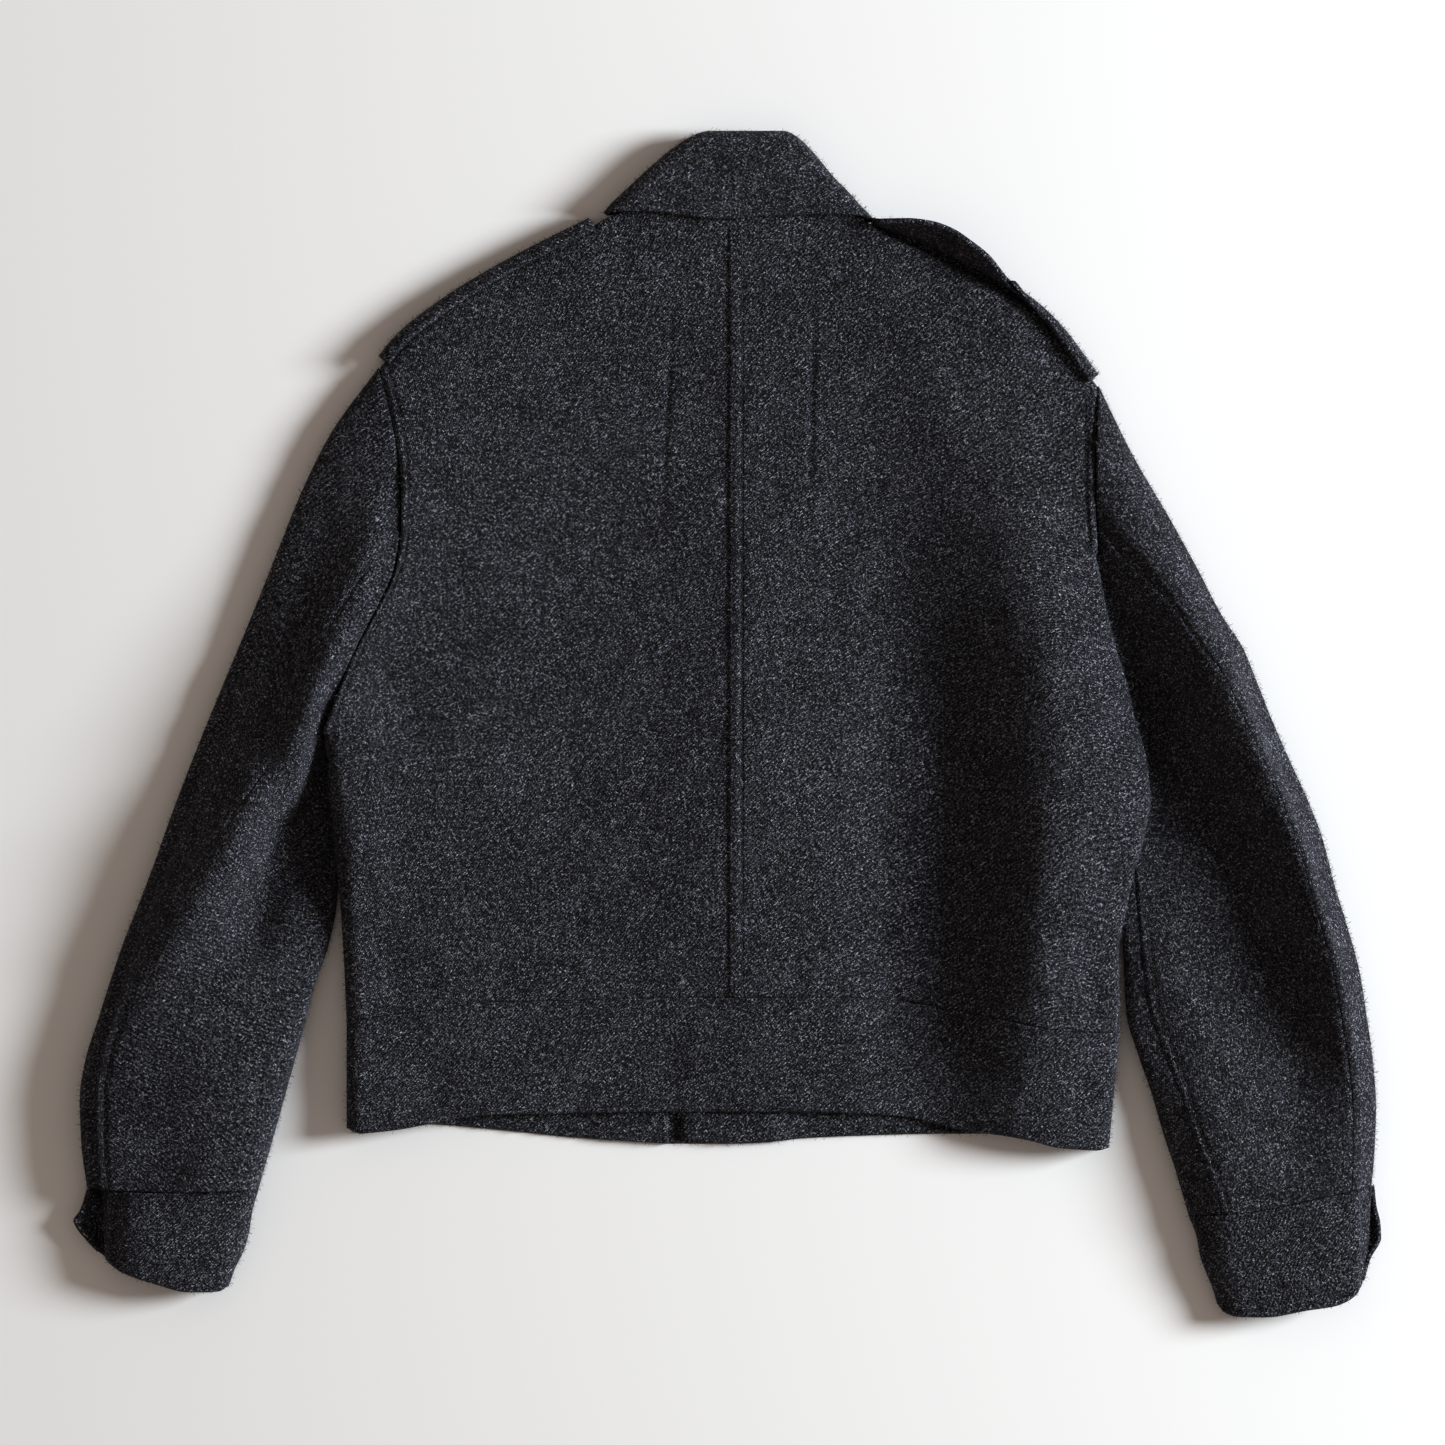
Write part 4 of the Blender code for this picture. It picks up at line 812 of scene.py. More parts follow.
class BodyRows:
    """Rows of the body that the back and the hidden fronts share, and their side edges."""

    def __init__(self, left_sleeve: Sleeve, right_sleeve: Sleeve) -> None:
        """Places the rows' ends.

        Args:
            left_sleeve: The sleeve at the left, for its armhole seam.
            right_sleeve: The sleeve at the right.
        """
        seam_left = left_sleeve.seam_points[1:]
        side_left = along(SIDE_LEFT)(shares(SIDE_ROWS + 1)[1:])
        self.left = np.concatenate([seam_left, side_left])
        self.rows = len(self.left)
        self.seam_rows_left = len(seam_left)
        seam_right = right_sleeve.seam_points[::-1][1 : SEAM_ROWS_RIGHT + 1]
        rest = shares(self.rows - SEAM_ROWS_RIGHT)
        self.right = np.concatenate([seam_right, along(SIDE_RIGHT)(rest)])
        self.front_right = np.concatenate([seam_right, along(FRONT_RIGHT_SIDE)(rest)])
        fallen = [side[0, 1] - side[:, 1] for side in (self.left, self.right)]
        self.down = sum(fall / fall[-1] for fall in fallen) / 2
        self.down[-1] = 1.0
        self.roll_left = (np.arange(self.rows) >= self.seam_rows_left).astype(float)
        self.roll_right = (np.arange(self.rows) >= SEAM_ROWS_RIGHT).astype(float)
        leaves = -self.right[SEAM_ROWS_RIGHT, 1]
        self.floor_right = np.interp(-self.right[:, 1], [leaves, 140, 152], [9.3, 9.3, 0.0])
        self.plan = Plan(
            self.top_row, by_x(WAIST_SEAM),
            through(self.down, self.left), through(self.down, self.right),
        )

    def outward(self, across: Array) -> Array:
        """Plan direction out of the top edge. At its two ends it follows the armhole."""
        edge = by_x(TOP_EDGE)
        run = unit(edge(np.minimum(across + 0.03, 1)) - edge(np.maximum(across - 0.03, 0)))
        ends = [unit(side[0] - side[1]) for side in (self.left, self.right)]
        near_left = np.clip(1 - across / 0.08, 0, 1)[..., None]
        near_right = np.clip(1 - (1 - across) / 0.08, 0, 1)[..., None]
        middle = sideways(run) * (1 - near_left - near_right)
        return unit(middle + ends[0] * near_left + ends[1] * near_right)

    def top_row(self, across: Array) -> Array:
        """The back's first full row, a roll's width inside the shoulder edge."""
        return by_x(TOP_EDGE)(across) - self.outward(across) * SHOULDER_ROLL


def side_columns(roll: Array, top: Array, floor: Array, length: Array, side: int) -> Leg:
    """Columns at one side of a panel, which go round to the floor or lie flat to a seam.

    Args:
        roll: 1 for a row that goes round, 0 for one that lies flat.
        top: Height of the skin at the side.
        floor: Height that the roll goes down to.
        length: Length of each section line.
        side: -1 for the left side, 1 for the right one.

    Returns:
        Shares across, and heights.
    """
    angles = np.radians(np.linspace(-90, 90, ROLL_STEPS + 1))[None]
    radius = ((top - floor) / 2)[:, None]
    turn = roll[:, None]
    flat = radius * np.linspace(0, 1, ROLL_STEPS + 1)[None]
    inset = turn * radius * (1 - np.cos(angles)) + (1 - turn) * flat
    height = turn * (floor[:, None] + radius * (1 + np.sin(angles))) + (1 - turn) * top[:, None]
    share = inset / length[:, None]
    return (share, height) if side < 0 else (1 - share[:, ::-1], height[:, ::-1])


class PanelRows(NamedTuple):
    """What a body panel's rows need: shares down, side rolls and the right side's floor."""

    down: Array
    roll_left: Array
    roll_right: Array
    floor_right: Array


def panel_skin(plan: Plan, sections: Sequence, rows: PanelRows, columns: Sequence) -> tuple:
    """Skin of an upper body panel between its two sides.

    Args:
        plan: The outline from above.
        sections: Heights of the skin.
        rows: Shares down, side rolls and floor.
        columns: Shares across between the two sides.

    Returns:
        The grid of points, and the shares across.
    """
    heights = Heights(sections)
    length = plan.width(rows.down)
    ends = [heights.at(rows.down, np.full_like(rows.down, share)) for share in (0.0, 1.0)]
    left = side_columns(rows.roll_left, ends[0], np.zeros_like(rows.down), length, -1)
    right = side_columns(rows.roll_right, ends[1], rows.floor_right, length, 1)
    start, end = left[0][:, -1:], right[0][:, :1]
    middle = start + (end - start) * np.array(columns)[None, 1:-1]
    spread = np.broadcast_to(rows.down[:, None], middle.shape)
    across = np.concatenate([left[0], middle, right[0]], axis=1)
    height = np.concatenate([left[1], heights.at(spread, middle), right[1]], axis=1)
    spread = np.broadcast_to(rows.down[:, None], across.shape)
    return np.concatenate([plan.place(spread, across), height[..., None]], axis=-1), across


def tuck_columns() -> list[float]:
    """The back's columns with the tuck's four among them."""
    middle = list(np.linspace(0.485, 0.505, len(TUCK_LINES)))
    return list(BACK_COLUMNS[:TUCK_AFTER]) + middle + list(BACK_COLUMNS[TUCK_AFTER:])


def raise_tuck(skin: Array) -> None:
    """Sets the tuck's columns straight and lifts the cloth between its fold and its stitching."""
    first = ROLL_STEPS + TUCK_AFTER
    for offset, x in enumerate(TUCK_LINES):
        skin[:, first + offset, 0] = x
    rise = np.clip((TUCK_TOP - skin[:, first + 1, 1]) / 10 + 0.5, 0, 1) * TUCK_RISE
    for offset in (1, 2):
        skin[:, first + offset, 2] += rise


class Fold(NamedTuple):
    """A crease: the line it follows, its width to either side, and its height, below 0 a trough."""

    line: tuple[tuple[float, float], ...]
    width: float
    height: float
    only: str = ""


FOLDS = (
    # Broad forms: the cloth tents at the tuck and along the right side, and rolls over each arm
    Fold(((6, 240), (6, 60), (6, -60), (6, -200)), 60, 4.5),
    Fold(((148, 215), (168, 120), (190, 30), (200, -90), (196, -270)), 44, 15.0),
    Fold(((116, 80), (130, -40), (128, -150), (122, -268)), 34, -11.0),
    Fold(((-238, 20), (-240, -60), (-241, -130)), 18, 4.0),
    Fold(((-256, -2), (-264, -58), (-272, -118)), 17, -17.0, "sleeve"),
    Fold(((-268, -24), (-287, -62), (-304, -112), (-318, -150)), 15, -17.0, "sleeve"),
    Fold(((-213, 170), (-216, 122), (-224, 90), (-241, 56), (-258, 20), (-266, -8)), 12, -10.0, "sleeve"),
    Fold(((-352, -150), (-392, -215), (-400, -290), (-392, -350)), 34, -5.0, "sleeve"),
    Fold(((-212, 200), (-228, 128), (-258, 29), (-288, -40), (-320, -86), (-352, -134)), 24, 9.0),
    Fold(((-312, -196), (-320, -260), (-332, -340)), 32, 7.0, "sleeve"),
    Fold(((250, 165), (338, -3), (384, -96), (420, -232)), 18, 5.0),
    Fold(((278, 45), (308, -26), (352, -118), (384, -240)), 22, -8.0),
    Fold(((268, -70), (292, -150), (320, -250), (332, -330)), 32, 9.0),
    Fold(((16, 400), (20, 372), (24, 344)), 38, 3.5),
    Fold(((-36, -200), (-37, -232), (-37, -262)), 11, -2.2),
    # The tuck's stitch line, and the cloth that falls away from it
    Fold(((9.4, 309), (9.4, 100), (9.4, -176)), 1.1, -1.5),
    Fold(((6.0, 309), (6.0, 100), (6.0, -176)), 2.2, 0.45),
    Fold(((15, 306), (15, 100), (15, -186)), 12, 0.9),
    # Pressed creases of the upper back
    Fold(((-36, 283), (-39, 210), (-43, 135)), 2.0, -1.2),
    Fold(((57, 283), (56, 210), (53, 132)), 2.0, -1.2),
    # Drag lines from the armholes
    Fold(((-214, 150), (-190, 120), (-168, 70)), 9, -1.6),
    Fold(((-212, 180), (-180, 160), (-150, 118)), 8, 1.0),
    Fold(((-240, 50), (-215, 20), (-200, -30)), 10, -1.5),
    Fold(((-250, 20), (-232, -20), (-225, -80)), 7, 1.0),
    Fold(((240, 160), (222, 130), (212, 90)), 8, -1.3),
    Fold(((238, 120), (215, 70), (206, 20)), 9, 1.1),
    # Blousing above the waistband
    Fold(((-225, -150), (-218, -172), (-214, -186)), 6, -1.6),
    Fold(((-190, -140), (-186, -165), (-184, -184)), 5, 1.0),
    Fold(((-150, -150), (-147, -170), (-146, -181)), 6, -1.1),
    Fold(((-95, -146), (-92, -168), (-90, -180)), 7, 0.8),
    Fold(((-60, -158), (-58, -172), (-58, -180)), 5, -0.9),
    Fold(((45, -155), (47, -172), (48, -179)), 6, -0.9),
    Fold(((92, -148), (96, -168), (98, -181)), 7, 0.9),
    Fold(((130, -140), (136, -165), (139, -184)), 6, -1.2),
    Fold(((168, -120), (176, -160), (180, -190)), 8, -1.5),
    Fold(((205, -130), (208, -165), (210, -197)), 7, 1.4),
    Fold(((235, -140), (238, -170), (240, -198)), 6, -1.4),
    # Across the back
    Fold(((-205, 60), (-150, 50), (-95, 58)), 14, -0.8),
    Fold(((-190, -60), (-130, -75), (-70, -70)), 16, 0.8),
    Fold(((90, 40), (140, 30), (190, 44)), 15, -0.8),
    Fold(((80, -90), (130, -100), (190, -84)), 16, 0.8),
    # Left sleeve
    Fold(((-232, 205), (-250, 170), (-258, 120)), 9, 1.5),
    Fold(((-245, 160), (-268, 110), (-290, 60)), 8, -1.3),
    Fold(((-300, 40), (-312, 0), (-318, -40)), 9, 1.2),
    Fold(((-340, -30), (-318, -60), (-290, -72)), 7, -1.6),
    Fold(((-352, -60), (-325, -88), (-296, -100)), 7, 1.3),
    Fold(((-330, -110), (-306, -122), (-282, -120)), 8, -1.4),
    Fold(((-388, -150), (-350, -170), (-310, -168)), 9, 1.1),
    Fold(((-396, -200), (-360, -214), (-320, -206)), 10, -1.1),
    Fold(((-404, -262), (-370, -270), (-330, -262)), 7, -1.0),
    Fold(((-372, -284), (-368, -300), (-366, -307)), 5, -0.9),
    Fold(((-345, -280), (-342, -298), (-341, -307)), 5, 0.8),
    # Right sleeve
    Fold(((250, 190), (262, 165), (272, 130)), 8, 1.3),
    Fold(((262, 90), (282, 50), (296, 0)), 8, -1.2),
    Fold(((285, 60), (312, 20), (330, -40)), 9, 1.2),
    Fold(((275, -60), (300, -72), (330, -70)), 8, -1.2),
    Fold(((290, -110), (320, -126), (352, -120)), 9, 1.1),
    Fold(((300, -160), (335, -178), (370, -170)), 9, -1.2),
    Fold(((310, -215), (345, -230), (382, -222)), 10, 1.0),
    Fold(((330, -262), (362, -272), (395, -262)), 8, -1.0),
    Fold(((340, -298), (344, -310), (346, -319)), 5, -0.8),
    Fold(((372, -290), (378, -304), (380, -313)), 5, 0.8),
    # Cuffs, collar and waistband
    Fold(((-395, -318), (-370, -326), (-335, -322)), 7, -0.8),
    Fold(((-398, -345), (-365, -352), (-335, -350)), 6, 0.6),
    Fold(((322, -338), (350, -344), (395, -334)), 7, -0.8),
    Fold(((330, -365), (360, -372), (402, -360)), 6, 0.6),
    Fold(((-50, 362), (0, 369), (60, 364)), 9, -0.8),
    Fold(((-66, 350), (-30, 352), (0, 349)), 6, 0.6),
    Fold(((-238, -232), (-190, -226), (-120, -222)), 9, -0.9),
    Fold(((-90, -212), (-20, -216), (60, -212)), 10, 0.5),
    Fold(((100, -224), (160, -232), (230, -246)), 10, -1.0),
)


class Bulge(NamedTuple):
    """A place where a piece bulges sideways: its middle, its reach along X and Y, and how far."""

    middle: tuple[float, float]
    reach: tuple[float, float]
    push: float


BULGES = {
    "sleeve_under_left": (Bulge((-268, -72), (14, 46), 5.0),),
    "back": (Bulge((-256, -66), (12, 46), -2.5),),
    "epaulette_right": (Bulge((102, 334), (9, 16), -7.0),),
    "collar_fall": (Bulge((93, 334), (8, 10), 1.5),),
}


class Ripple(NamedTuple):
    """A faint regular unevenness of the whole cloth: wavelength, direction, height and phase."""

    length: float
    turn: float
    height: float
    phase: float


RIPPLES = (
    Ripple(83, 0.35, 0.24, 0.4), Ripple(61, 1.30, 0.20, 2.1), Ripple(47, 2.25, 0.17, 4.0),
    Ripple(34, 0.80, 0.13, 1.2), Ripple(27, 1.85, 0.11, 5.1), Ripple(21, 2.80, 0.09, 3.3),
    Ripple(14, 0.15, 0.06, 0.9), Ripple(11, 1.10, 0.05, 2.7), Ripple(8.3, 2.00, 0.045, 4.6),
    Ripple(6.4, 0.60, 0.035, 1.7), Ripple(5.3, 1.55, 0.03, 3.9), Ripple(4.4, 2.50, 0.03, 5.6),
)
PUCKERS = (Ripple(8.7, 0, 0.45, 0.3), Ripple(13.1, 0, 0.55, 1.9), Ripple(21.7, 0, 0.6, 4.2))


def crease(places: Array, fold: Fold) -> Array:
    """Height that one fold adds.

    Args:
        places: Places seen from above.
        fold: The fold.

    Returns:
        A height for each place.
    """
    line = np.array(fold.line, float)
    lengths = np.linalg.norm(np.diff(line, axis=0), axis=1)
    starts = np.concatenate([[0.0], np.cumsum(lengths)])
    nearest = np.full(places.shape[:-1], np.inf)
    along_line = np.zeros(places.shape[:-1])
    for start, run, length, begun in zip(line, np.diff(line, axis=0), lengths, starts):
        share = np.clip(((places - start) * run).sum(axis=-1) / length**2, 0, 1)
        distance = np.linalg.norm(places - start - share[..., None] * run, axis=-1)
        closer = distance < nearest
        nearest = np.where(closer, distance, nearest)
        along_line = np.where(closer, (begun + share * length) / starts[-1], along_line)
    ends = np.sin(np.pi * np.clip(0.08 + 0.84 * along_line, 0, 1)) ** 0.8
    return fold.height * ends * np.exp(-((nearest / fold.width) ** 2))


def waves(at: Array, ripples: Sequence[Ripple]) -> Array:
    """Sum of waves along a line or over the plan, by the last axis of the places."""
    total = np.zeros(at.shape[:-1])
    for ripple in ripples:
        way = np.array([math.cos(ripple.turn), math.sin(ripple.turn)])[: at.shape[-1]]
        phase = 2 * np.pi * (at @ way) / ripple.length + ripple.phase
        total += ripple.height * np.sin(phase + 0.7 * np.sin(phase * 0.31))
    return total


def run_lengths(grid: Array, axis: int) -> Array:
    """Length run along a grid's rows (axis 1) or columns (axis 0), from 0."""
    steps = np.linalg.norm(np.diff(grid, axis=axis), axis=-1)
    start = np.zeros_like(np.take(steps, [0], axis=axis))
    return np.concatenate([start, np.cumsum(steps, axis=axis)], axis=axis)


def fine_places(lengths: Array, form: Form, focuses: Sequence[Focus]) -> Array:
    """Index places at which a grid is read again, closer near the focuses.

    Args:
        lengths: Length run to each coarse column or row.
        form: The form, for its spacings.
        focuses: Where the mesh is closer.

    Returns:
        Rising index places, the first 0 and the last the last index.
    """
    raster = np.linspace(0, lengths[-1], 2000)
    step = np.full_like(raster, form.spacing)
    for focus in focuses:
        near = np.abs(raster - focus.at) - focus.reach
        step = np.minimum(step, focus.step + np.clip(near, 0, None) * 0.25)
    filled = np.concatenate([[0.0], np.cumsum(np.diff(raster) / step[1:])])
    count = max(2, int(round(filled[-1])))
    at = np.interp(np.linspace(0, filled[-1], count + 1), filled, raster)
    return np.interp(at, lengths, np.arange(len(lengths)))


def border_relief(distance: Array, run: Array, border: Border) -> Array:
    """Height that a border adds near it.

    Args:
        distance: Distance of each point from the border.
        run: Length run along the border.
        border: What the border is.

    Returns:
        A height for each point.
    """
    total = np.zeros_like(distance)
    if border.kind is EdgeKind.SEAM:
        total -= 0.5 * np.exp(-((distance / 1.5) ** 2))
    if border.kind is EdgeKind.TURNED:
        radius = 2.2
        inside = np.clip(radius - distance, 0, radius)
        total -= 0.8 * (radius - np.sqrt(radius**2 - inside**2))
    if border.kind is EdgeKind.HIDDEN:
        return total
    pucker = waves(run[..., None], PUCKERS) * border.puckers
    if border.stitch > 0:
        total -= 0.85 * np.exp(-(((distance - border.stitch) / 1.4) ** 2))
        total += 0.7 * np.exp(-(((distance - border.stitch / 2) / (border.stitch / 3)) ** 2))
        total += pucker * np.exp(-(((distance - border.stitch) / 7) ** 2))
    else:
        total += pucker * np.exp(-((distance / 7) ** 2)) * 0.7
    return total


class FineSkin:
    """A form's skin on a fine grid, with its seams, stitch lines and creases."""

    def __init__(self, form: Form) -> None:
        """Refines the form and moves its upper side.

        Args:
            form: The form.
        """
        self.form = form
        down_runs = run_lengths(form.grid, 0).mean(axis=1)
        across_runs = run_lengths(form.grid, 1).mean(axis=0)
        near = 12.0
        down_focus = list(form.focus_down)
        across_focus = list(form.focus_across)
        for border, at, kept in (
            (form.top, 0.0, down_focus), (form.bottom, down_runs[-1], down_focus),
            (form.left, 0.0, across_focus), (form.right, across_runs[-1], across_focus),
        ):
            if border.kind is not EdgeKind.HIDDEN:
                kept.append(Focus(at, max(near, border.stitch + 4)))
        rows = fine_places(down_runs, form, down_focus)
        columns = fine_places(across_runs, form, across_focus)
        grid = eased(np.arange(form.grid.shape[0]), form.grid, rows)
        grid = eased(np.arange(form.grid.shape[1]), grid.transpose(1, 0, 2), columns)
        grid = grid.transpose(1, 0, 2)
        self.down, self.across = run_lengths(grid, 0), run_lengths(grid, 1)
        normals = self.normals(grid)
        upper = np.clip(normals[..., 2] * 2.2 + 0.25, 0, 1)
        self.moved = grid.copy()
        self.moved[..., 2] += self.relief(grid) * upper
        for bulge in BULGES.get(form.name, ()):
            self.push(bulge)
        lowest = FLOOR_CLEAR if form.name.startswith("sleeve") else 0.0
        self.moved[..., 2] = np.maximum(self.moved[..., 2], lowest * upper)

    def push(self, bulge: Bulge) -> None:
        """Pushes the skin sideways round a place."""
        away = (self.moved[..., :2] - bulge.middle) / bulge.reach
        weight = np.exp(-(away**2).sum(axis=-1))
        self.moved[..., 0] += bulge.push * weight

    @staticmethod
    def normals(grid: Array) -> Array:
        """Outward directions of a grid."""
        return unit(np.cross(np.gradient(grid, axis=0), np.gradient(grid, axis=1)))

    def distances(self) -> dict[str, Array]:
        """Distance of every point from each border."""
        return {
            "left": self.across,
            "right": self.across[:, -1:] - self.across,
            "top": self.down,
            "bottom": self.down[-1:] - self.down,
        }

    def relief(self, grid: Array) -> Array:
        """Height that seams, creases and unevenness add to each point of a grid."""
        form, distances = self.form, self.distances()
        total = np.zeros(grid.shape[:2])
        for side in ("left", "right", "top", "bottom"):
            run = self.down[:, :1] if side in ("left", "right") else self.across[:1]
            run = np.broadcast_to(run, total.shape)
            total += border_relief(distances[side], run, getattr(form, side))
        if form.creased:
            for fold in FOLDS:
                if form.name.startswith(fold.only):
                    total += crease(grid[..., :2], fold)
            total += waves(grid[..., :2], RIPPLES)
        return total

    def line_inside(self, side: str, distance: float) -> Array:
        """Points of the line that runs a distance inside a border, on the skin."""
        away = self.distances()[side]
        points, grid = [], self.moved
        if side in ("top", "bottom"):
            away, grid = away.T, grid.transpose(1, 0, 2)
        for row, marks in zip(grid, away):
            order = np.argsort(marks)
            points.append([np.interp(distance, marks[order], row[order, axis]) for axis in range(3)])
        return np.array(points)

    def mesh(self) -> bpy.types.Mesh:
        """The closed mesh of the shell, with the cloth's own UV map and the nap's mask."""
        skin, form = self.moved, self.form
        normals = self.normals(skin)
        lining = skin - form.thickness * 0.94 * normals
        lining[..., 2] = np.maximum(lining[..., 2], 0.0)
        rows, columns = skin.shape[:2]
        numbers = np.arange(rows * columns).reshape(rows, columns)
        behind = numbers + rows * columns
        quads = [
            np.stack([numbers[:-1, :-1], numbers[1:, :-1], numbers[1:, 1:], numbers[:-1, 1:]], -1),
            np.stack([behind[:-1, 1:], behind[1:, 1:], behind[1:, :-1], behind[:-1, :-1]], -1),
            np.stack([numbers[1:, 0], numbers[:-1, 0], behind[:-1, 0], behind[1:, 0]], -1),
            np.stack([numbers[:-1, -1], numbers[1:, -1], behind[1:, -1], behind[:-1, -1]], -1),
            np.stack([numbers[0, :-1], numbers[0, 1:], behind[0, 1:], behind[0, :-1]], -1),
            np.stack([numbers[-1, 1:], numbers[-1, :-1], behind[-1, :-1], behind[-1, 1:]], -1),
        ]
        faces = np.concatenate([quad.reshape(-1, 4) for quad in quads])
        points = np.concatenate([skin.reshape(-1, 3), lining.reshape(-1, 3)]) * MM
        mesh = bpy.data.meshes.new(form.name)
        mesh.from_pydata(points.tolist(), [], faces.tolist())
        mesh.shade_smooth()
        cloth = np.stack([self.across.reshape(-1), self.down.reshape(-1)], axis=-1) * MM
        cloth = np.concatenate([cloth, cloth])
        layer = mesh.uv_layers.new(name="cloth")
        layer.uv.foreach_set("vector", cloth[faces.reshape(-1)].astype(np.float32).reshape(-1))
        mask = mesh.attributes.new("napped", "FLOAT", "FACE")
        outside = np.zeros(len(faces), np.float32)
        skin_faces = (rows - 1) * (columns - 1)
        upward = normals[:-1, :-1, 2].reshape(-1)
        outside[:skin_faces] = np.clip(upward * 4 + 1.2, 0, 1)
        mask.data.foreach_set("value", outside)
        return mesh


class Value:
    """A shader socket that carries a number, so that Python expressions add the Math nodes."""

    def __init__(self, recipe: "Recipe", socket: bpy.types.NodeSocket) -> None:
        """Keeps the recipe that the socket belongs to, and the socket."""
        self.recipe, self.socket = recipe, socket

    def _with(self, operation: str, *others: "Value | float") -> "Value":
        """A Math node on this value and others."""
        inputs = {index: other for index, other in enumerate(others)}
        return self.recipe.number("ShaderNodeMath", {"operation": operation}, inputs)

    def __add__(self, other: "Value | float") -> "Value":
        """Sum."""
        return self._with("ADD", self, other)

    def __radd__(self, other: float) -> "Value":
        """Sum, the number first."""
        return self._with("ADD", other, self)

    def __sub__(self, other: "Value | float") -> "Value":
        """Difference."""
        return self._with("SUBTRACT", self, other)

    def __rsub__(self, other: float) -> "Value":
        """Difference, the number first."""
        return self._with("SUBTRACT", other, self)

    def __mul__(self, other: "Value | float") -> "Value":
        """Product."""
        return self._with("MULTIPLY", self, other)

    def __rmul__(self, other: float) -> "Value":
        """Product, the number first."""
        return self._with("MULTIPLY", other, self)

    def sine(self) -> "Value":
        """Sine of the value."""
        return self._with("SINE", self)

    def between(self, low: float, high: float) -> "Value":
        """0 below low and 1 above high, with a smooth rise."""
        settings = {"interpolation_type": "SMOOTHSTEP"}
        return self.recipe.number("ShaderNodeMapRange", settings, {0: self, 1: low, 2: high})


class Recipe:
    """A material's node tree, filled by one method for every node."""

    def __init__(self, name: str) -> None:
        """Makes an empty material."""
        self.material = bpy.data.materials.new(name)
        self.material.use_nodes = True
        self.tree = self.material.node_tree
        self.tree.nodes.clear()

    def node(self, kind: str, settings: dict, sockets: dict) -> bpy.types.Node:
        """Adds a node.

        Args:
            kind: The node's type.
            settings: Its properties, set first.
            sockets: Values or links of its input sockets, by name or index.

        Returns:
            The node.
        """
        node = self.tree.nodes.new(kind)
        for key, value in settings.items():
            setattr(node, key, value)
        for key, value in sockets.items():
            if isinstance(value, Value):
                value = value.socket
            if isinstance(value, bpy.types.NodeSocket):
                self.tree.links.new(value, node.inputs[key])
            else:
                node.inputs[key].default_value = value
        return node

    def number(self, kind: str, settings: dict, sockets: dict) -> Value:
        """Adds a node and gives its first output as a number."""
        return Value(self, self.node(kind, settings, sockets).outputs[0])

    def noise(self, coordinates: bpy.types.NodeSocket, scale: float, detail: float = 2.0) -> Value:
        """A noise pattern, from 0 to 1."""
        sockets = {"Vector": coordinates, "Scale": scale, "Detail": detail}
        return self.number("ShaderNodeTexNoise", {}, sockets)

    def mapped(self, coordinates: bpy.types.NodeSocket, turn: float, scale: tuple) -> bpy.types.NodeSocket:
        """Coordinates turned about Z and then stretched."""
        sockets = {"Vector": coordinates, "Rotation": (0.0, 0.0, turn)}
        turned = self.node("ShaderNodeMapping", {"vector_type": "TEXTURE"}, sockets).outputs[0]
        sockets = {"Vector": turned, "Scale": scale}
        return self.node("ShaderNodeMapping", {}, sockets).outputs[0]

    def mix(self, share: Value, first: tuple | Value, second: tuple | Value) -> Value:
        """Mixes two colours."""
        settings = {"data_type": "RGBA"}
        node = self.node("ShaderNodeMix", settings, {"Factor": share, 6: first, 7: second})
        return Value(self, node.outputs[2])


Colour = tuple[float, float, float, float]


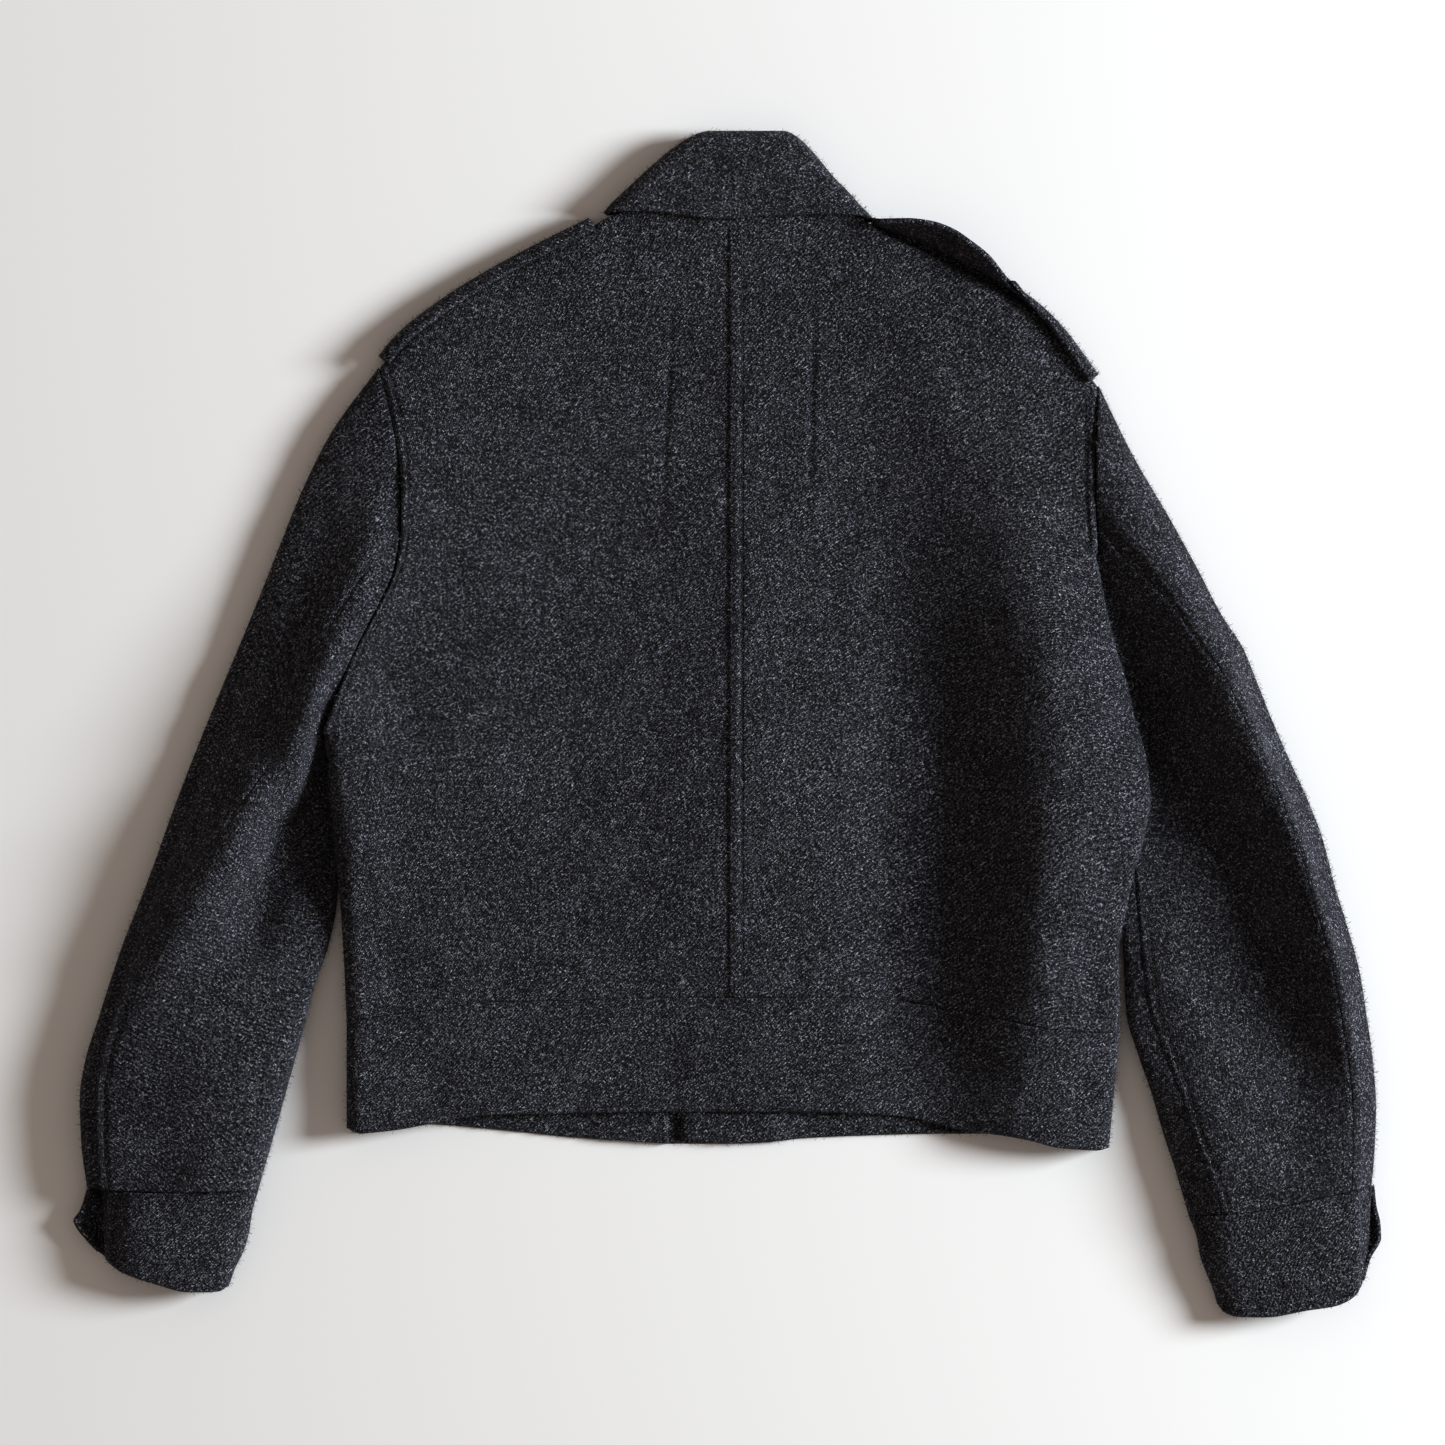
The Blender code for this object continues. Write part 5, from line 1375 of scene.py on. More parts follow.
@dataclass(frozen=True)
class WoolFinish:
    """Heavy milled wool: near-black yarn, pale fibres, a slanting twill and a short nap."""

    name: str
    dark: Colour = (0.0022, 0.0021, 0.0036, 1.0)
    middle: Colour = (0.0312, 0.0317, 0.0426, 1.0)
    pale: Colour = (0.55, 0.565, 0.655, 1.0)
    flecks: float = 0.95
    twill: float = 0.45
    twill_length: float = 2.6
    bump: float = 1.0

    def fibres(self, recipe: Recipe, place: bpy.types.NodeSocket, turn: float) -> Value:
        """Thin pale fibres that lie one way.

        Args:
            recipe: The material.
            place: Coordinates in metres.
            turn: The way that they lie.

        Returns:
            1 on a fibre and 0 off it.
        """
        bent = recipe.noise(place, 240.0, 1.0)
        lines = recipe.mapped(place, turn, (430.0, 2000.0, 430.0))
        shift = recipe.node("ShaderNodeVectorMath", {"operation": "ADD"}, {0: lines}).outputs[0]
        node = shift.node
        recipe.tree.links.new((bent * 2.4).socket, node.inputs[1])
        return recipe.noise(shift, 1.0, 1.0).between(0.60, 0.72)

    def material(self) -> bpy.types.Material:
        """Builds the material."""
        recipe = Recipe(self.name)
        spots = recipe.node("ShaderNodeTexCoord", {}, {})
        place = spots.outputs["Object"]
        cloth = recipe.node("ShaderNodeUVMap", {"uv_map": "cloth"}, {}).outputs[0]

        grain = recipe.noise(place, 620.0, 1.5).between(0.40, 0.64)
        fine = recipe.noise(place, 1500.0, 2.0)
        cloud = recipe.noise(place, 34.0, 4.0).between(0.25, 0.75)
        split = recipe.node("ShaderNodeSeparateXYZ", {}, {"Vector": cloth})
        slant = Value(recipe, split.outputs[0]) + Value(recipe, split.outputs[1])
        drift = recipe.noise(place, 130.0, 2.0)
        turns = slant * (2 * math.pi / (self.twill_length * MM)) + drift * 5.0
        twill = turns.sine() * 0.5 + 0.5

        fibres = self.fibres(recipe, place, 0.5) + self.fibres(recipe, place, 2.2)
        fibres = fibres + self.fibres(recipe, place, 3.7)
        yarn = grain * 0.62 + twill * self.twill * 0.6 + fine * 0.25 + cloud * 0.2 - 0.16
        base = recipe.mix(yarn.between(0.0, 1.0), self.dark, self.middle)
        shown = 0.25 + grain * 0.75 + (cloud - 0.5) * 0.2 + (twill - 0.5) * self.twill
        fleck = (fibres * self.flecks * shown).between(0.05, 1.15)
        colour = recipe.mix(fleck, base, self.pale)

        height = grain * 0.5 + fibres * 0.35 + twill * self.twill * 0.6 + fine * 0.35
        bump = recipe.node(
            "ShaderNodeBump", {}, {"Strength": self.bump, "Distance": 0.0015, "Height": height}
        )
        shader = recipe.node(
            "ShaderNodeBsdfPrincipled",
            {},
            {
                "Base Color": colour,
                "Roughness": 0.92,
                "Specular IOR Level": 0.18,
                "Sheen Weight": 0.08,
                "Sheen Roughness": 0.45,
                "Sheen Tint": (0.62, 0.64, 0.72, 1.0),
                "Normal": bump.outputs[0],
            },
        )
        recipe.node("ShaderNodeOutputMaterial", {}, {"Surface": shader.outputs[0]})
        return recipe.material


@dataclass(frozen=True)
class FibreFinish:
    """The loose fibres of the nap: most of them dark, some pale."""

    name: str
    dark: Colour = (0.022, 0.023, 0.028, 1.0)
    pale: Colour = (0.20, 0.205, 0.22, 1.0)

    def material(self) -> bpy.types.Material:
        """Builds the material."""
        recipe = Recipe(self.name)
        place = recipe.node("ShaderNodeTexCoord", {}, {}).outputs["Object"]
        share = recipe.noise(place, 430.0, 1.0).between(0.50, 0.68)
        colour = recipe.mix(share, self.dark, self.pale)
        sockets = {"Base Color": colour, "Roughness": 0.8, "Specular IOR Level": 0.2}
        shader = recipe.node("ShaderNodeBsdfPrincipled", {}, sockets)
        recipe.node("ShaderNodeOutputMaterial", {}, {"Surface": shader.outputs[0]})
        return recipe.material


@dataclass(frozen=True)
class ThreadFinish:
    """Dark sewing thread."""

    name: str
    colour: Colour = (0.012, 0.0125, 0.016, 1.0)

    def material(self) -> bpy.types.Material:
        """Builds the material."""
        recipe = Recipe(self.name)
        place = recipe.node("ShaderNodeTexCoord", {}, {}).outputs["Object"]
        colour = recipe.mix(recipe.noise(place, 900.0, 1.0), self.colour, (0.03, 0.031, 0.036, 1.0))
        sockets = {"Base Color": colour, "Roughness": 0.6, "Specular IOR Level": 0.3}
        shader = recipe.node("ShaderNodeBsdfPrincipled", {}, sockets)
        recipe.node("ShaderNodeOutputMaterial", {}, {"Surface": shader.outputs[0]})
        return recipe.material


class Growth:
    """A Geometry Nodes tree with named inputs, whose result becomes a plain mesh."""

    def __init__(self, name: str, sizes: dict[str, float]) -> None:
        """Starts the tree.

        Args:
            name: The tree's name.
            sizes: Its inputs for sizes, with their values.
        """
        self.tree = bpy.data.node_groups.new(name, "GeometryNodeTree")
        face = self.tree.interface
        face.new_socket("Geometry", in_out="INPUT", socket_type="NodeSocketGeometry")
        self.sizes = {}
        for key, value in sizes.items():
            socket = face.new_socket(key, in_out="INPUT", socket_type="NodeSocketFloat")
            socket.default_value = value
            self.sizes[key] = socket.identifier
        face.new_socket("Finish", in_out="INPUT", socket_type="NodeSocketMaterial")
        self.finish_key = [s.identifier for s in face.items_tree if s.name == "Finish"][0]
        face.new_socket("Geometry", in_out="OUTPUT", socket_type="NodeSocketGeometry")
        self.start = self.tree.nodes.new("NodeGroupInput")
        self.end = self.tree.nodes.new("NodeGroupOutput")

    def node(self, kind: str, settings: dict, sockets: dict) -> bpy.types.Node:
        """Adds a node.

        Args:
            kind: The node's type.
            settings: Its properties, set first.
            sockets: Values or links of its input sockets, by name or index.

        Returns:
            The node.
        """
        node = self.tree.nodes.new(kind)
        for key, value in settings.items():
            setattr(node, key, value)
        for key, value in sockets.items():
            if isinstance(value, bpy.types.NodeSocket):
                self.tree.links.new(value, node.inputs[key])
            else:
                node.inputs[key].default_value = value
        return node

    def close(self, instances: bpy.types.NodeSocket) -> None:
        """Ends the tree: real geometry, with its finish."""
        real = self.node("GeometryNodeRealizeInstances", {}, {"Geometry": instances})
        sockets = {"Geometry": real.outputs[0], "Material": self.start.outputs["Finish"]}
        done = self.node("GeometryNodeSetMaterial", {}, sockets)
        self.tree.links.new(done.outputs[0], self.end.inputs[0])

    def grow(self, on: bpy.types.Object, name: str, sizes: dict, finish: bpy.types.Material) -> bpy.types.Object:
        """Runs the tree on an object.

        Args:
            on: The object that the tree reads.
            name: Name of the new piece.
            sizes: Values of the inputs that differ from the tree's own.
            finish: Material of the result.

        Returns:
            A new object with the result as its mesh.
        """
        modifier = on.modifiers.new("growth", "NODES")
        modifier.node_group = self.tree
        for key, value in sizes.items():
            modifier[self.sizes[key]] = float(value)
        modifier[self.finish_key] = finish
        graph = bpy.context.evaluated_depsgraph_get()
        mesh = bpy.data.meshes.new_from_object(on.evaluated_get(graph), depsgraph=graph)
        on.modifiers.remove(modifier)
        mesh.name = name
        grown = bpy.data.objects.new(name, mesh)
        bpy.context.scene.collection.objects.link(grown)
        return grown


class Nap(Growth):
    """Short loose fibres that stand and lie on napped faces."""

    def __init__(self) -> None:
        """Builds the tree."""
        super().__init__("nap", {"Density": 260000.0, "Length": 2.6, "Width": 0.19})
        start = self.start.outputs
        mask = self.node("GeometryNodeInputNamedAttribute", {"data_type": "FLOAT"}, {"Name": "napped"})
        density = self.node(
            "ShaderNodeMath", {"operation": "MULTIPLY"}, {0: mask.outputs[0], 1: start["Density"]}
        )
        points = self.node(
            "GeometryNodeDistributePointsOnFaces",
            {"distribute_method": "RANDOM"},
            {"Mesh": start["Geometry"], "Density": density.outputs[0], "Seed": SEED},
        )
        length = self.node("ShaderNodeMath", {"operation": "MULTIPLY"}, {0: start["Length"], 1: MM})
        width = self.node("ShaderNodeMath", {"operation": "MULTIPLY"}, {0: start["Width"], 1: MM})
        blade = self.node(
            "GeometryNodeMeshGrid",
            {},
            {"Size X": length.outputs[0], "Size Y": width.outputs[0], "Vertices X": 2, "Vertices Y": 2},
        )
        half = self.node("ShaderNodeMath", {"operation": "MULTIPLY"}, {0: length.outputs[0], 1: 0.5})
        shift = self.node("ShaderNodeCombineXYZ", {}, {"X": half.outputs[0]})
        stem = self.node(
            "GeometryNodeTransform", {}, {"Geometry": blade.outputs[0], "Translation": shift.outputs[0]}
        )
        turn = self.random((-0.6, -1.0, 0.0), (0.6, -0.02, 2 * math.pi), 1)
        local = self.node("FunctionNodeRotateRotation", {"rotation_space": "LOCAL"},
                          {0: points.outputs["Rotation"], 1: self.spin(turn)})
        scale = self.random((0.45, 0.7, 1.0), (1.5, 1.3, 1.0), 2)
        planted = self.node(
            "GeometryNodeInstanceOnPoints",
            {},
            {
                "Points": points.outputs["Points"], "Instance": stem.outputs[0],
                "Rotation": local.outputs[0], "Scale": scale,
            },
        )
        self.close(planted.outputs[0])

    def random(self, low: tuple, high: tuple, seed: int) -> bpy.types.NodeSocket:
        """A random vector for each fibre."""
        node = self.node(
            "FunctionNodeRandomValue", {"data_type": "FLOAT_VECTOR"}, {"Min": low, "Max": high, "Seed": seed}
        )
        return node.outputs[0]

    def spin(self, angles: bpy.types.NodeSocket) -> bpy.types.NodeSocket:
        """Turns angles about Y and then Z into a rotation."""
        parts = self.node("ShaderNodeSeparateXYZ", {}, {0: angles})
        lean = self.node("ShaderNodeCombineXYZ", {}, {"X": parts.outputs[0], "Y": parts.outputs[1]})
        round_up = self.node("ShaderNodeCombineXYZ", {}, {"Z": parts.outputs[2]})
        first = self.node("FunctionNodeEulerToRotation", {}, {0: lean.outputs[0]})
        second = self.node("FunctionNodeEulerToRotation", {}, {0: round_up.outputs[0]})
        both = self.node("FunctionNodeRotateRotation", {"rotation_space": "GLOBAL"},
                         {0: first.outputs[0], 1: second.outputs[0]})
        return both.outputs[0]


class Stitching(Growth):
    """Stitches along a line, one after another."""

    def __init__(self) -> None:
        """Builds the tree."""
        super().__init__("stitching", {"Pitch": 3.2, "Length": 2.3, "Thickness": 0.55})
        start = self.start.outputs
        pitch = self.node("ShaderNodeMath", {"operation": "MULTIPLY"}, {0: start["Pitch"], 1: MM})
        line = self.node("GeometryNodeMeshToCurve", {}, {"Mesh": start["Geometry"]})
        points = self.node(
            "GeometryNodeCurveToPoints", {"mode": "LENGTH"},
            {"Curve": line.outputs[0], "Length": pitch.outputs[0]},
        )
        aim = self.node(
            "FunctionNodeAlignRotationToVector", {"axis": "X"}, {"Vector": points.outputs["Tangent"]}
        )
        ball = self.node("GeometryNodeMeshIcoSphere", {}, {"Radius": 0.5 * MM, "Subdivisions": 1})
        scale = self.node(
            "ShaderNodeCombineXYZ", {},
            {"X": start["Length"], "Y": start["Thickness"], "Z": start["Thickness"]},
        )
        planted = self.node(
            "GeometryNodeInstanceOnPoints", {},
            {
                "Points": points.outputs["Points"], "Instance": ball.outputs[0],
                "Rotation": aim.outputs[0], "Scale": scale.outputs[0],
            },
        )
        self.close(planted.outputs[0])


SEAM = Border(EdgeKind.SEAM)
HIDDEN = Border(EdgeKind.HIDDEN)


@dataclass
class Sleeves:
    """Both sleeves' panels, with the topstitched seams that show."""

    left: Sleeve
    right: Sleeve
    forearm_stitch: float = 5.5
    hindarm_stitch: float = 5.0
    pucker: float = 0.35

    def left_forms(self) -> list[Form]:
        """The left sleeve's two panels."""
        tube = self.left.tube
        hindarm = seam(HINDARM_LEFT, tube.down)
        half = LONG_GAP / 2 / tube.length
        step = (tube.last - hindarm) / UNDER_COLUMNS
        forearm = tube.last - FOREARM_COLUMN * step
        top = tube.skin([
            tube.lower(forearm - half, hindarm, UNDER_COLUMNS - FOREARM_COLUMN),
            tube.lower(hindarm, tube.first, OUTER_COLUMNS),
            tube.roll(-1, -90, 90),
            tube.upper(tube.first, hindarm - half, OUTER_COLUMNS),
        ])
        under = tube.skin([
            tube.upper(hindarm + half, tube.last, UNDER_COLUMNS),
            tube.roll(1, 90, -90),
            tube.lower(tube.last, forearm + half, FOREARM_COLUMN),
        ])
        armhole = Border(EdgeKind.SEAM, 0.0, self.pucker)
        return [
            Form("sleeve_top_left", top, CLOTH, armhole, SEAM, HIDDEN, HIDDEN),
            Form("sleeve_under_left", under, CLOTH, armhole, SEAM, HIDDEN, HIDDEN),
        ]

    def right_forms(self) -> list[Form]:
        """The right sleeve's two panels."""
        tube = self.right.tube
        forearm, hindarm = seam(FOREARM_RIGHT, tube.down), seam(HINDARM_RIGHT, tube.down)
        half = LONG_GAP / 2 / tube.length
        top = tube.skin([
            tube.upper(hindarm + half, tube.last, RIDGE_COLUMNS),
            tube.roll(1, 90, -90),
            tube.lower(tube.last, hindarm, RIDGE_COLUMNS),
            tube.lower(hindarm, forearm, MIDDLE_COLUMNS),
            tube.lower(forearm, tube.first, INNER_STRIP_COLUMNS),
            tube.roll(-1, -90, 90),
            tube.upper(tube.first, forearm - half, INNER_STRIP_COLUMNS),
        ])
        under = tube.skin([tube.upper(forearm + half, hindarm - half, MIDDLE_COLUMNS)])
        armhole = Border(EdgeKind.SEAM, 0.0, self.pucker)
        stitched = Border(EdgeKind.SEAM, self.forearm_stitch, self.pucker)
        return [
            Form("sleeve_top_right", top, CLOTH, armhole, SEAM, HIDDEN, SEAM),
            Form("sleeve_under_right", under, CLOTH, armhole, SEAM, stitched, HIDDEN),
        ]


@dataclass
class UpperBody:
    """The back panel with its centre tuck, and the two hidden fronts."""

    rows: BodyRows
    armhole_left: float = 6.5
    armhole_right: float = 8.6
    armhole_pucker: float = 0.3
    waist_pucker: float = 0.5
    front_columns: int = 6

    def back(self) -> Form:
        """The back: rolled over at the shoulders and the sides."""
        rows = self.rows
        spans_of = PanelRows(rows.down, rows.roll_left, rows.roll_right, rows.floor_right)
        skin, across = panel_skin(rows.plan, BACK_SECTIONS, spans_of, tuck_columns())
        raise_tuck(skin)
        first, out = skin[0], rows.outward(across[0])
        turn = ((first[:, 0] < NECK_LEFT) | (first[:, 0] > NECK_RIGHT)).astype(float)
        caps = []
        for step in range(ROLL_STEPS):
            angle = math.radians(-90 + 180 * step / ROLL_STEPS)
            flat = step / ROLL_STEPS
            inset = SHOULDER_ROLL * (turn * (1 - math.cos(angle)) + (1 - turn) * flat)
            height = first[:, 2] * (turn * (1 + math.sin(angle)) / 2 + 1 - turn)
            places = first[:, :2] + out * (SHOULDER_ROLL - inset)[:, None]
            caps.append(np.concatenate([places, height[:, None]], axis=1))
        grid = np.concatenate([np.stack(caps), skin])
        waist = Border(EdgeKind.SEAM, 0.0, self.waist_pucker)
        left = Border(EdgeKind.SEAM, self.armhole_left, self.armhole_pucker)
        right = Border(EdgeKind.SEAM, self.armhole_right, self.armhole_pucker)
        middle = float(run_lengths(grid, 1).mean(axis=0)[ROLL_STEPS + TUCK_AFTER + 1])
        closer = (Focus(middle + 5, 7, 0.9), Focus(middle - 53, 11, 1.2), Focus(middle + 66, 17, 1.2))
        return Form("back", grid, CLOTH, HIDDEN, waist, left, right, focus_across=closer)

    def front(self, side: int) -> Form:
        """A hidden front, plain and flat on the floor.

        Args:
            side: -1 for the left one, 1 for the right one, which lies on the left one.

        Returns:
            Its form.
        """
        rows = self.rows
        left, right = rows.left.copy(), rows.front_right.copy()
        left[rows.roll_left > 0, 0] += SIDE_INSET
        left[rows.seam_rows_left - 1, 0] += UNDERARM_INSET
        edge = OVERLAP + 4
        if side < 0:
            x = left[:, :1] + (OVERLAP - left[:, :1]) * shares(self.front_columns)[None]
        else:
            start = edge + RAMP
            flat = np.broadcast_to([[-OVERLAP, 0.0, edge]], (rows.rows, 3))
            rest = start + (right[:, :1] - start) * shares(self.front_columns - 1)[None]
            x = np.concatenate([flat, rest], axis=1)
        share = np.clip((x - rows.left[:, :1]) / (rows.right - rows.left)[:, :1], 0, 1)
        place = rows.plan.place(np.broadcast_to(rows.down[:, None], share.shape), share)
        y = np.minimum(place[..., 1], FRONT_NECK)
        y[0] -= SHOULDER_CLEAR
        y[:, 0 if side < 0 else -1] = (left if side < 0 else right)[:, 1]
        waist = np.array(WAIST_SEAM, float)
        y[-1] = eased(waist[:, 0], waist[:, 1], x[-1]) + HIDDEN_GAP
        lifted = np.interp(x, [edge, edge + RAMP], [CLOTH + SEAM_GAP, 0.0])
        floor = np.zeros_like(x) if side < 0 else lifted
        grid = np.stack([x, y, floor + CLOTH], axis=-1)
        name = "front_left" if side < 0 else "front_right"
        return Form(name, grid, CLOTH, spacing=9.0, nap=0.0, creased=False)


@dataclass
class Waistbands:
    """The waistband: its back, and the two fronts that show below the back's hem."""

    top_stitch: float = 3.2
    hem_stitch: float = 4.2
    pucker: float = 0.55

    def back(self) -> Form:
        """The back waistband, from the waist seam to the hem."""
        left = through([0, 1], [WAIST_SEAM[0], HEM_BACK[0]])
        right = through([0, 1], [WAIST_SEAM[-1], HEM_BACK[-1]])
        plan = Plan(by_x(WAIST_SEAM), by_x(HEM_BACK), left, right)
        gap = SEAM_GAP / 70
        down = gap + (1 - gap) * np.array([0.0, 0.33, 0.66, 1.0])
        rolled = np.ones_like(down)
        rows = PanelRows(down, rolled, rolled, np.zeros_like(down))
        grid, _across = panel_skin(plan, BAND_SECTIONS, rows, tuck_columns())
        top = Border(EdgeKind.SEAM, self.top_stitch, self.pucker)
        hem = Border(EdgeKind.TURNED, self.hem_stitch, self.pucker)
        return Form("waistband_back", grid, BAND, top, hem)

    def front(self, side: int) -> Form:
        """A front waistband. The right one lies on the left one.

        Args:
            side: -1 for the left one, 1 for the right one.

        Returns:
            Its form.
        """
        slot = (SLOT_LEFT - 0.2, SLOT_LEFT + 0.2)
        low = OVERLAP + 3
        if side < 0:
            x = np.array([-241, -200, -150, -100, -70, *slot, -20, 5, OVERLAP])
            hem = np.array(HEM_FRONT_LEFT, float)
            height = np.interp(x, [-100, -70, *slot], [3.0, 5.2, 5.2, LOWER_LAYER])
        else:
            x = np.array([-OVERLAP, 0, low, low + RAMP, 90, 140, 190, 240])
            hem = np.array(HEM_FRONT_RIGHT, float)
            height = BAND + np.interp(x, [low, low + RAMP], [LOWER_LAYER + SEAM_GAP, 0.0])
        line = np.array(WAIST_SEAM, float)
        top = eased(line[:, 0], line[:, 1], x) - SEAM_GAP
        bottom = eased(hem[:, 0], hem[:, 1], x)
        y = top + (bottom - top) * np.array([0.0, 0.35, 0.7, 1.0])[:, None]
        grid = np.stack([np.broadcast_to(x, y.shape), y, np.broadcast_to(height, y.shape)], axis=-1)
        name = "waistband_front_left" if side < 0 else "waistband_front_right"
        turned = Border(EdgeKind.TURNED, self.hem_stitch, self.pucker)
        thickness = LOWER_LAYER if side < 0 else BAND
        slot_focus = (Focus(241 + SLOT_LEFT, 8.0),) if side < 0 else ()
        return Form(
            name, grid, thickness, HIDDEN, turned, HIDDEN, HIDDEN, focus_across=slot_focus, creased=False
        )


@dataclass
class Cuffs:
    """The cuffs: a band round the wrist, open at the vent, whose lower end is a loose tab."""

    edge_stitch: float = 4.0
    rows: tuple[float, ...] = (0.0, 0.22, 0.45, 0.66, 0.82, 1.0)

    def cuff(self, side: int) -> Form:
        """One cuff.

        Args:
            side: -1 for the left one, 1 for the right one.

        Returns:
            Its form.
        """
        down = np.array(self.rows)
        if side < 0:
            plan = self.plan(CUFF_SEAM_LEFT, CUFF_LEFT_BOTTOM, CUFF_LEFT_OUTER, CUFF_LEFT_INNER)
        else:
            plan = self.plan(CUFF_SEAM_RIGHT, CUFF_RIGHT_BOTTOM, CUFF_RIGHT_INNER, CUFF_RIGHT_OUTER)
        tube = Tube(plan, CUFF_LEFT_SECTIONS if side < 0 else CUFF_RIGHT_SECTIONS, down)
        count = OUTER_COLUMNS + UNDER_COLUMNS
        edge = np.full_like(down, 0.0 if side < 0 else 1.0)
        if side < 0:
            legs = [
                tube.roll(-1, 15, 90), tube.upper(tube.first, tube.last, count),
                tube.roll(1, 90, -90), tube.lower(tube.last, edge, count),
            ]
        else:
            legs = [
                tube.lower(edge, tube.first, count), tube.roll(-1, -90, 90),
                tube.upper(tube.first, tube.last, count), tube.roll(1, 90, 15),
            ]
        skin, tab = tube.skin(legs), self.tab(tube, TAB_LEFT if side < 0 else TAB_RIGHT, side)
        grid = np.concatenate([skin, tab] if side < 0 else [tab[:, ::-1], skin], axis=1)
        turned = Border(EdgeKind.TURNED, self.edge_stitch, 0.5)
        top = Border(EdgeKind.SEAM, 3.0, 0.6)
        name = "cuff_left" if side < 0 else "cuff_right"
        return Form(name, grid, BAND, top, turned, turned, turned)

    @staticmethod
    def plan(seam_places: Sequence, bottom: Sequence, left: Sequence, right: Sequence) -> Plan:
        """A cuff's outline, with its upper edge a gap below the sleeve's seam.

        Args:
            seam_places: The sleeve's cuff seam.
            bottom: The lower edge.
            left: The left side.
            right: The right side.

        Returns:
            The outline.
        """
        line, start = np.array(seam_places, float), left[0].x

        def top(across: Array) -> Array:
            """Places of the upper edge at the shares."""
            x = start + (line[-1, 0] - start) * np.asarray(across, float)
            return np.stack([x, eased(line[:, 0], line[:, 1], x) - CUFF_GAP], axis=-1)

        first, last = top(np.array([0.0, 1.0]))
        return Plan(top, along(bottom), joined(along(left), first), joined(along(right), last))

    @staticmethod
    def tab(tube: Tube, reaches: Sequence, side: int) -> Array:
        """Points of the tab, out from the lower skin's end and rising.

        Args:
            tube: The cuff's tube.
            reaches: How far the tab stands out, down the cuff.
            side: -1 for the left cuff, 1 for the right one.

        Returns:
            A row of points for each row of the tube.
        """
        table = np.array(reaches, float)
        reach = eased(table[:, 0], table[:, 1], tube.down)
        edge = 0.0 if side < 0 else 1.0
        near = np.array([edge, edge - side * 0.001])
        ends = tube.plan.place(tube.down[:, None], near[None])
        out = unit(ends[:, 0] - ends[:, 1])
        columns = []
        for share, up in zip(TAB_OUT, TAB_UP):
            places = ends[:, 0] + out * (reach * share)[:, None]
            columns.append(np.concatenate([places, np.full((len(reach), 1), up)], axis=1))
        return np.stack(columns, axis=1)


@dataclass
class Collar:
    """The collar: a fall turned down over the back, and the stand inside it."""

    edge_stitch: float = 5.5
    slit: float = 1.0
    neck_inset: tuple[float, float] = (17.0, 15.0)

    def fall(self) -> Form:
        """The turned-down collar, round both sides and flat under the neck."""
        plan = Plan(by_x(COLLAR_TOP), by_x(COLLAR_EDGE), along(COLLAR_LEFT), along(COLLAR_RIGHT))
        tube = Tube(plan, FALL_SECTIONS, np.array([0.0, 0.05, 0.2, 0.45, 0.7, 0.88, 1.0]))
        grid = self.round(tube, 4, 10)
        edge = Border(EdgeKind.TURNED, self.edge_stitch, 0.5)
        return Form("collar_fall", grid, FALL, Border(EdgeKind.TURNED), edge, HIDDEN, HIDDEN)

    def stand(self) -> Form:
        """The stand inside the fall, from the top fold down to the neck seam."""
        neck = by_x(TOP_EDGE)
        width = TOP_EDGE[-1].x - TOP_EDGE[0].x
        lows = NECK_LEFT + self.neck_inset[0], NECK_RIGHT - self.neck_inset[1]
        start, end = ((x - TOP_EDGE[0].x) / width for x in lows)

        def bottom(across: Array) -> Array:
            """Places of the neck seam at the shares."""
            return neck(start + (end - start) * np.asarray(across, float)) + (0.0, STAND_GAP)

        fold = np.array(COLLAR_TOP, float)
        high = fold[1, 1] - STAND_TOP
        ends = [(fold[0, 0] + STAND_INSET, high), (fold[-1, 0] - STAND_INSET, high)]
        low = bottom(np.array([0.0, 1.0]))
        left, right = (through([0, 1], [ends[n], low[n]]) for n in (0, 1))
        plan = Plan(through([0, 1], ends), bottom, left, right)
        tube = Tube(plan, STAND_SECTIONS, shares(5), STAND_FLOOR)
        grid = self.round(tube, 3, 8)
        return Form("collar_stand", grid, CLOTH, nap=0.0, spacing=6.0, creased=False)

    def round(self, tube: Tube, below: int, above: int) -> Array:
        """A skin that goes all the way round a flattened tube, open by a slit underneath.

        Args:
            tube: The tube.
            below: Steps of each half underneath.
            above: Steps on the upper side.

        Returns:
            Its grid.
        """
        middle = np.full_like(tube.down, 0.5)
        slit = self.slit / tube.length
        return tube.skin([
            tube.lower(middle - slit, tube.first, below), tube.roll(-1, -90, 90),
            tube.upper(tube.first, tube.last, above), tube.roll(1, 90, -90),
            tube.lower(tube.last, middle + slit, below),
        ])


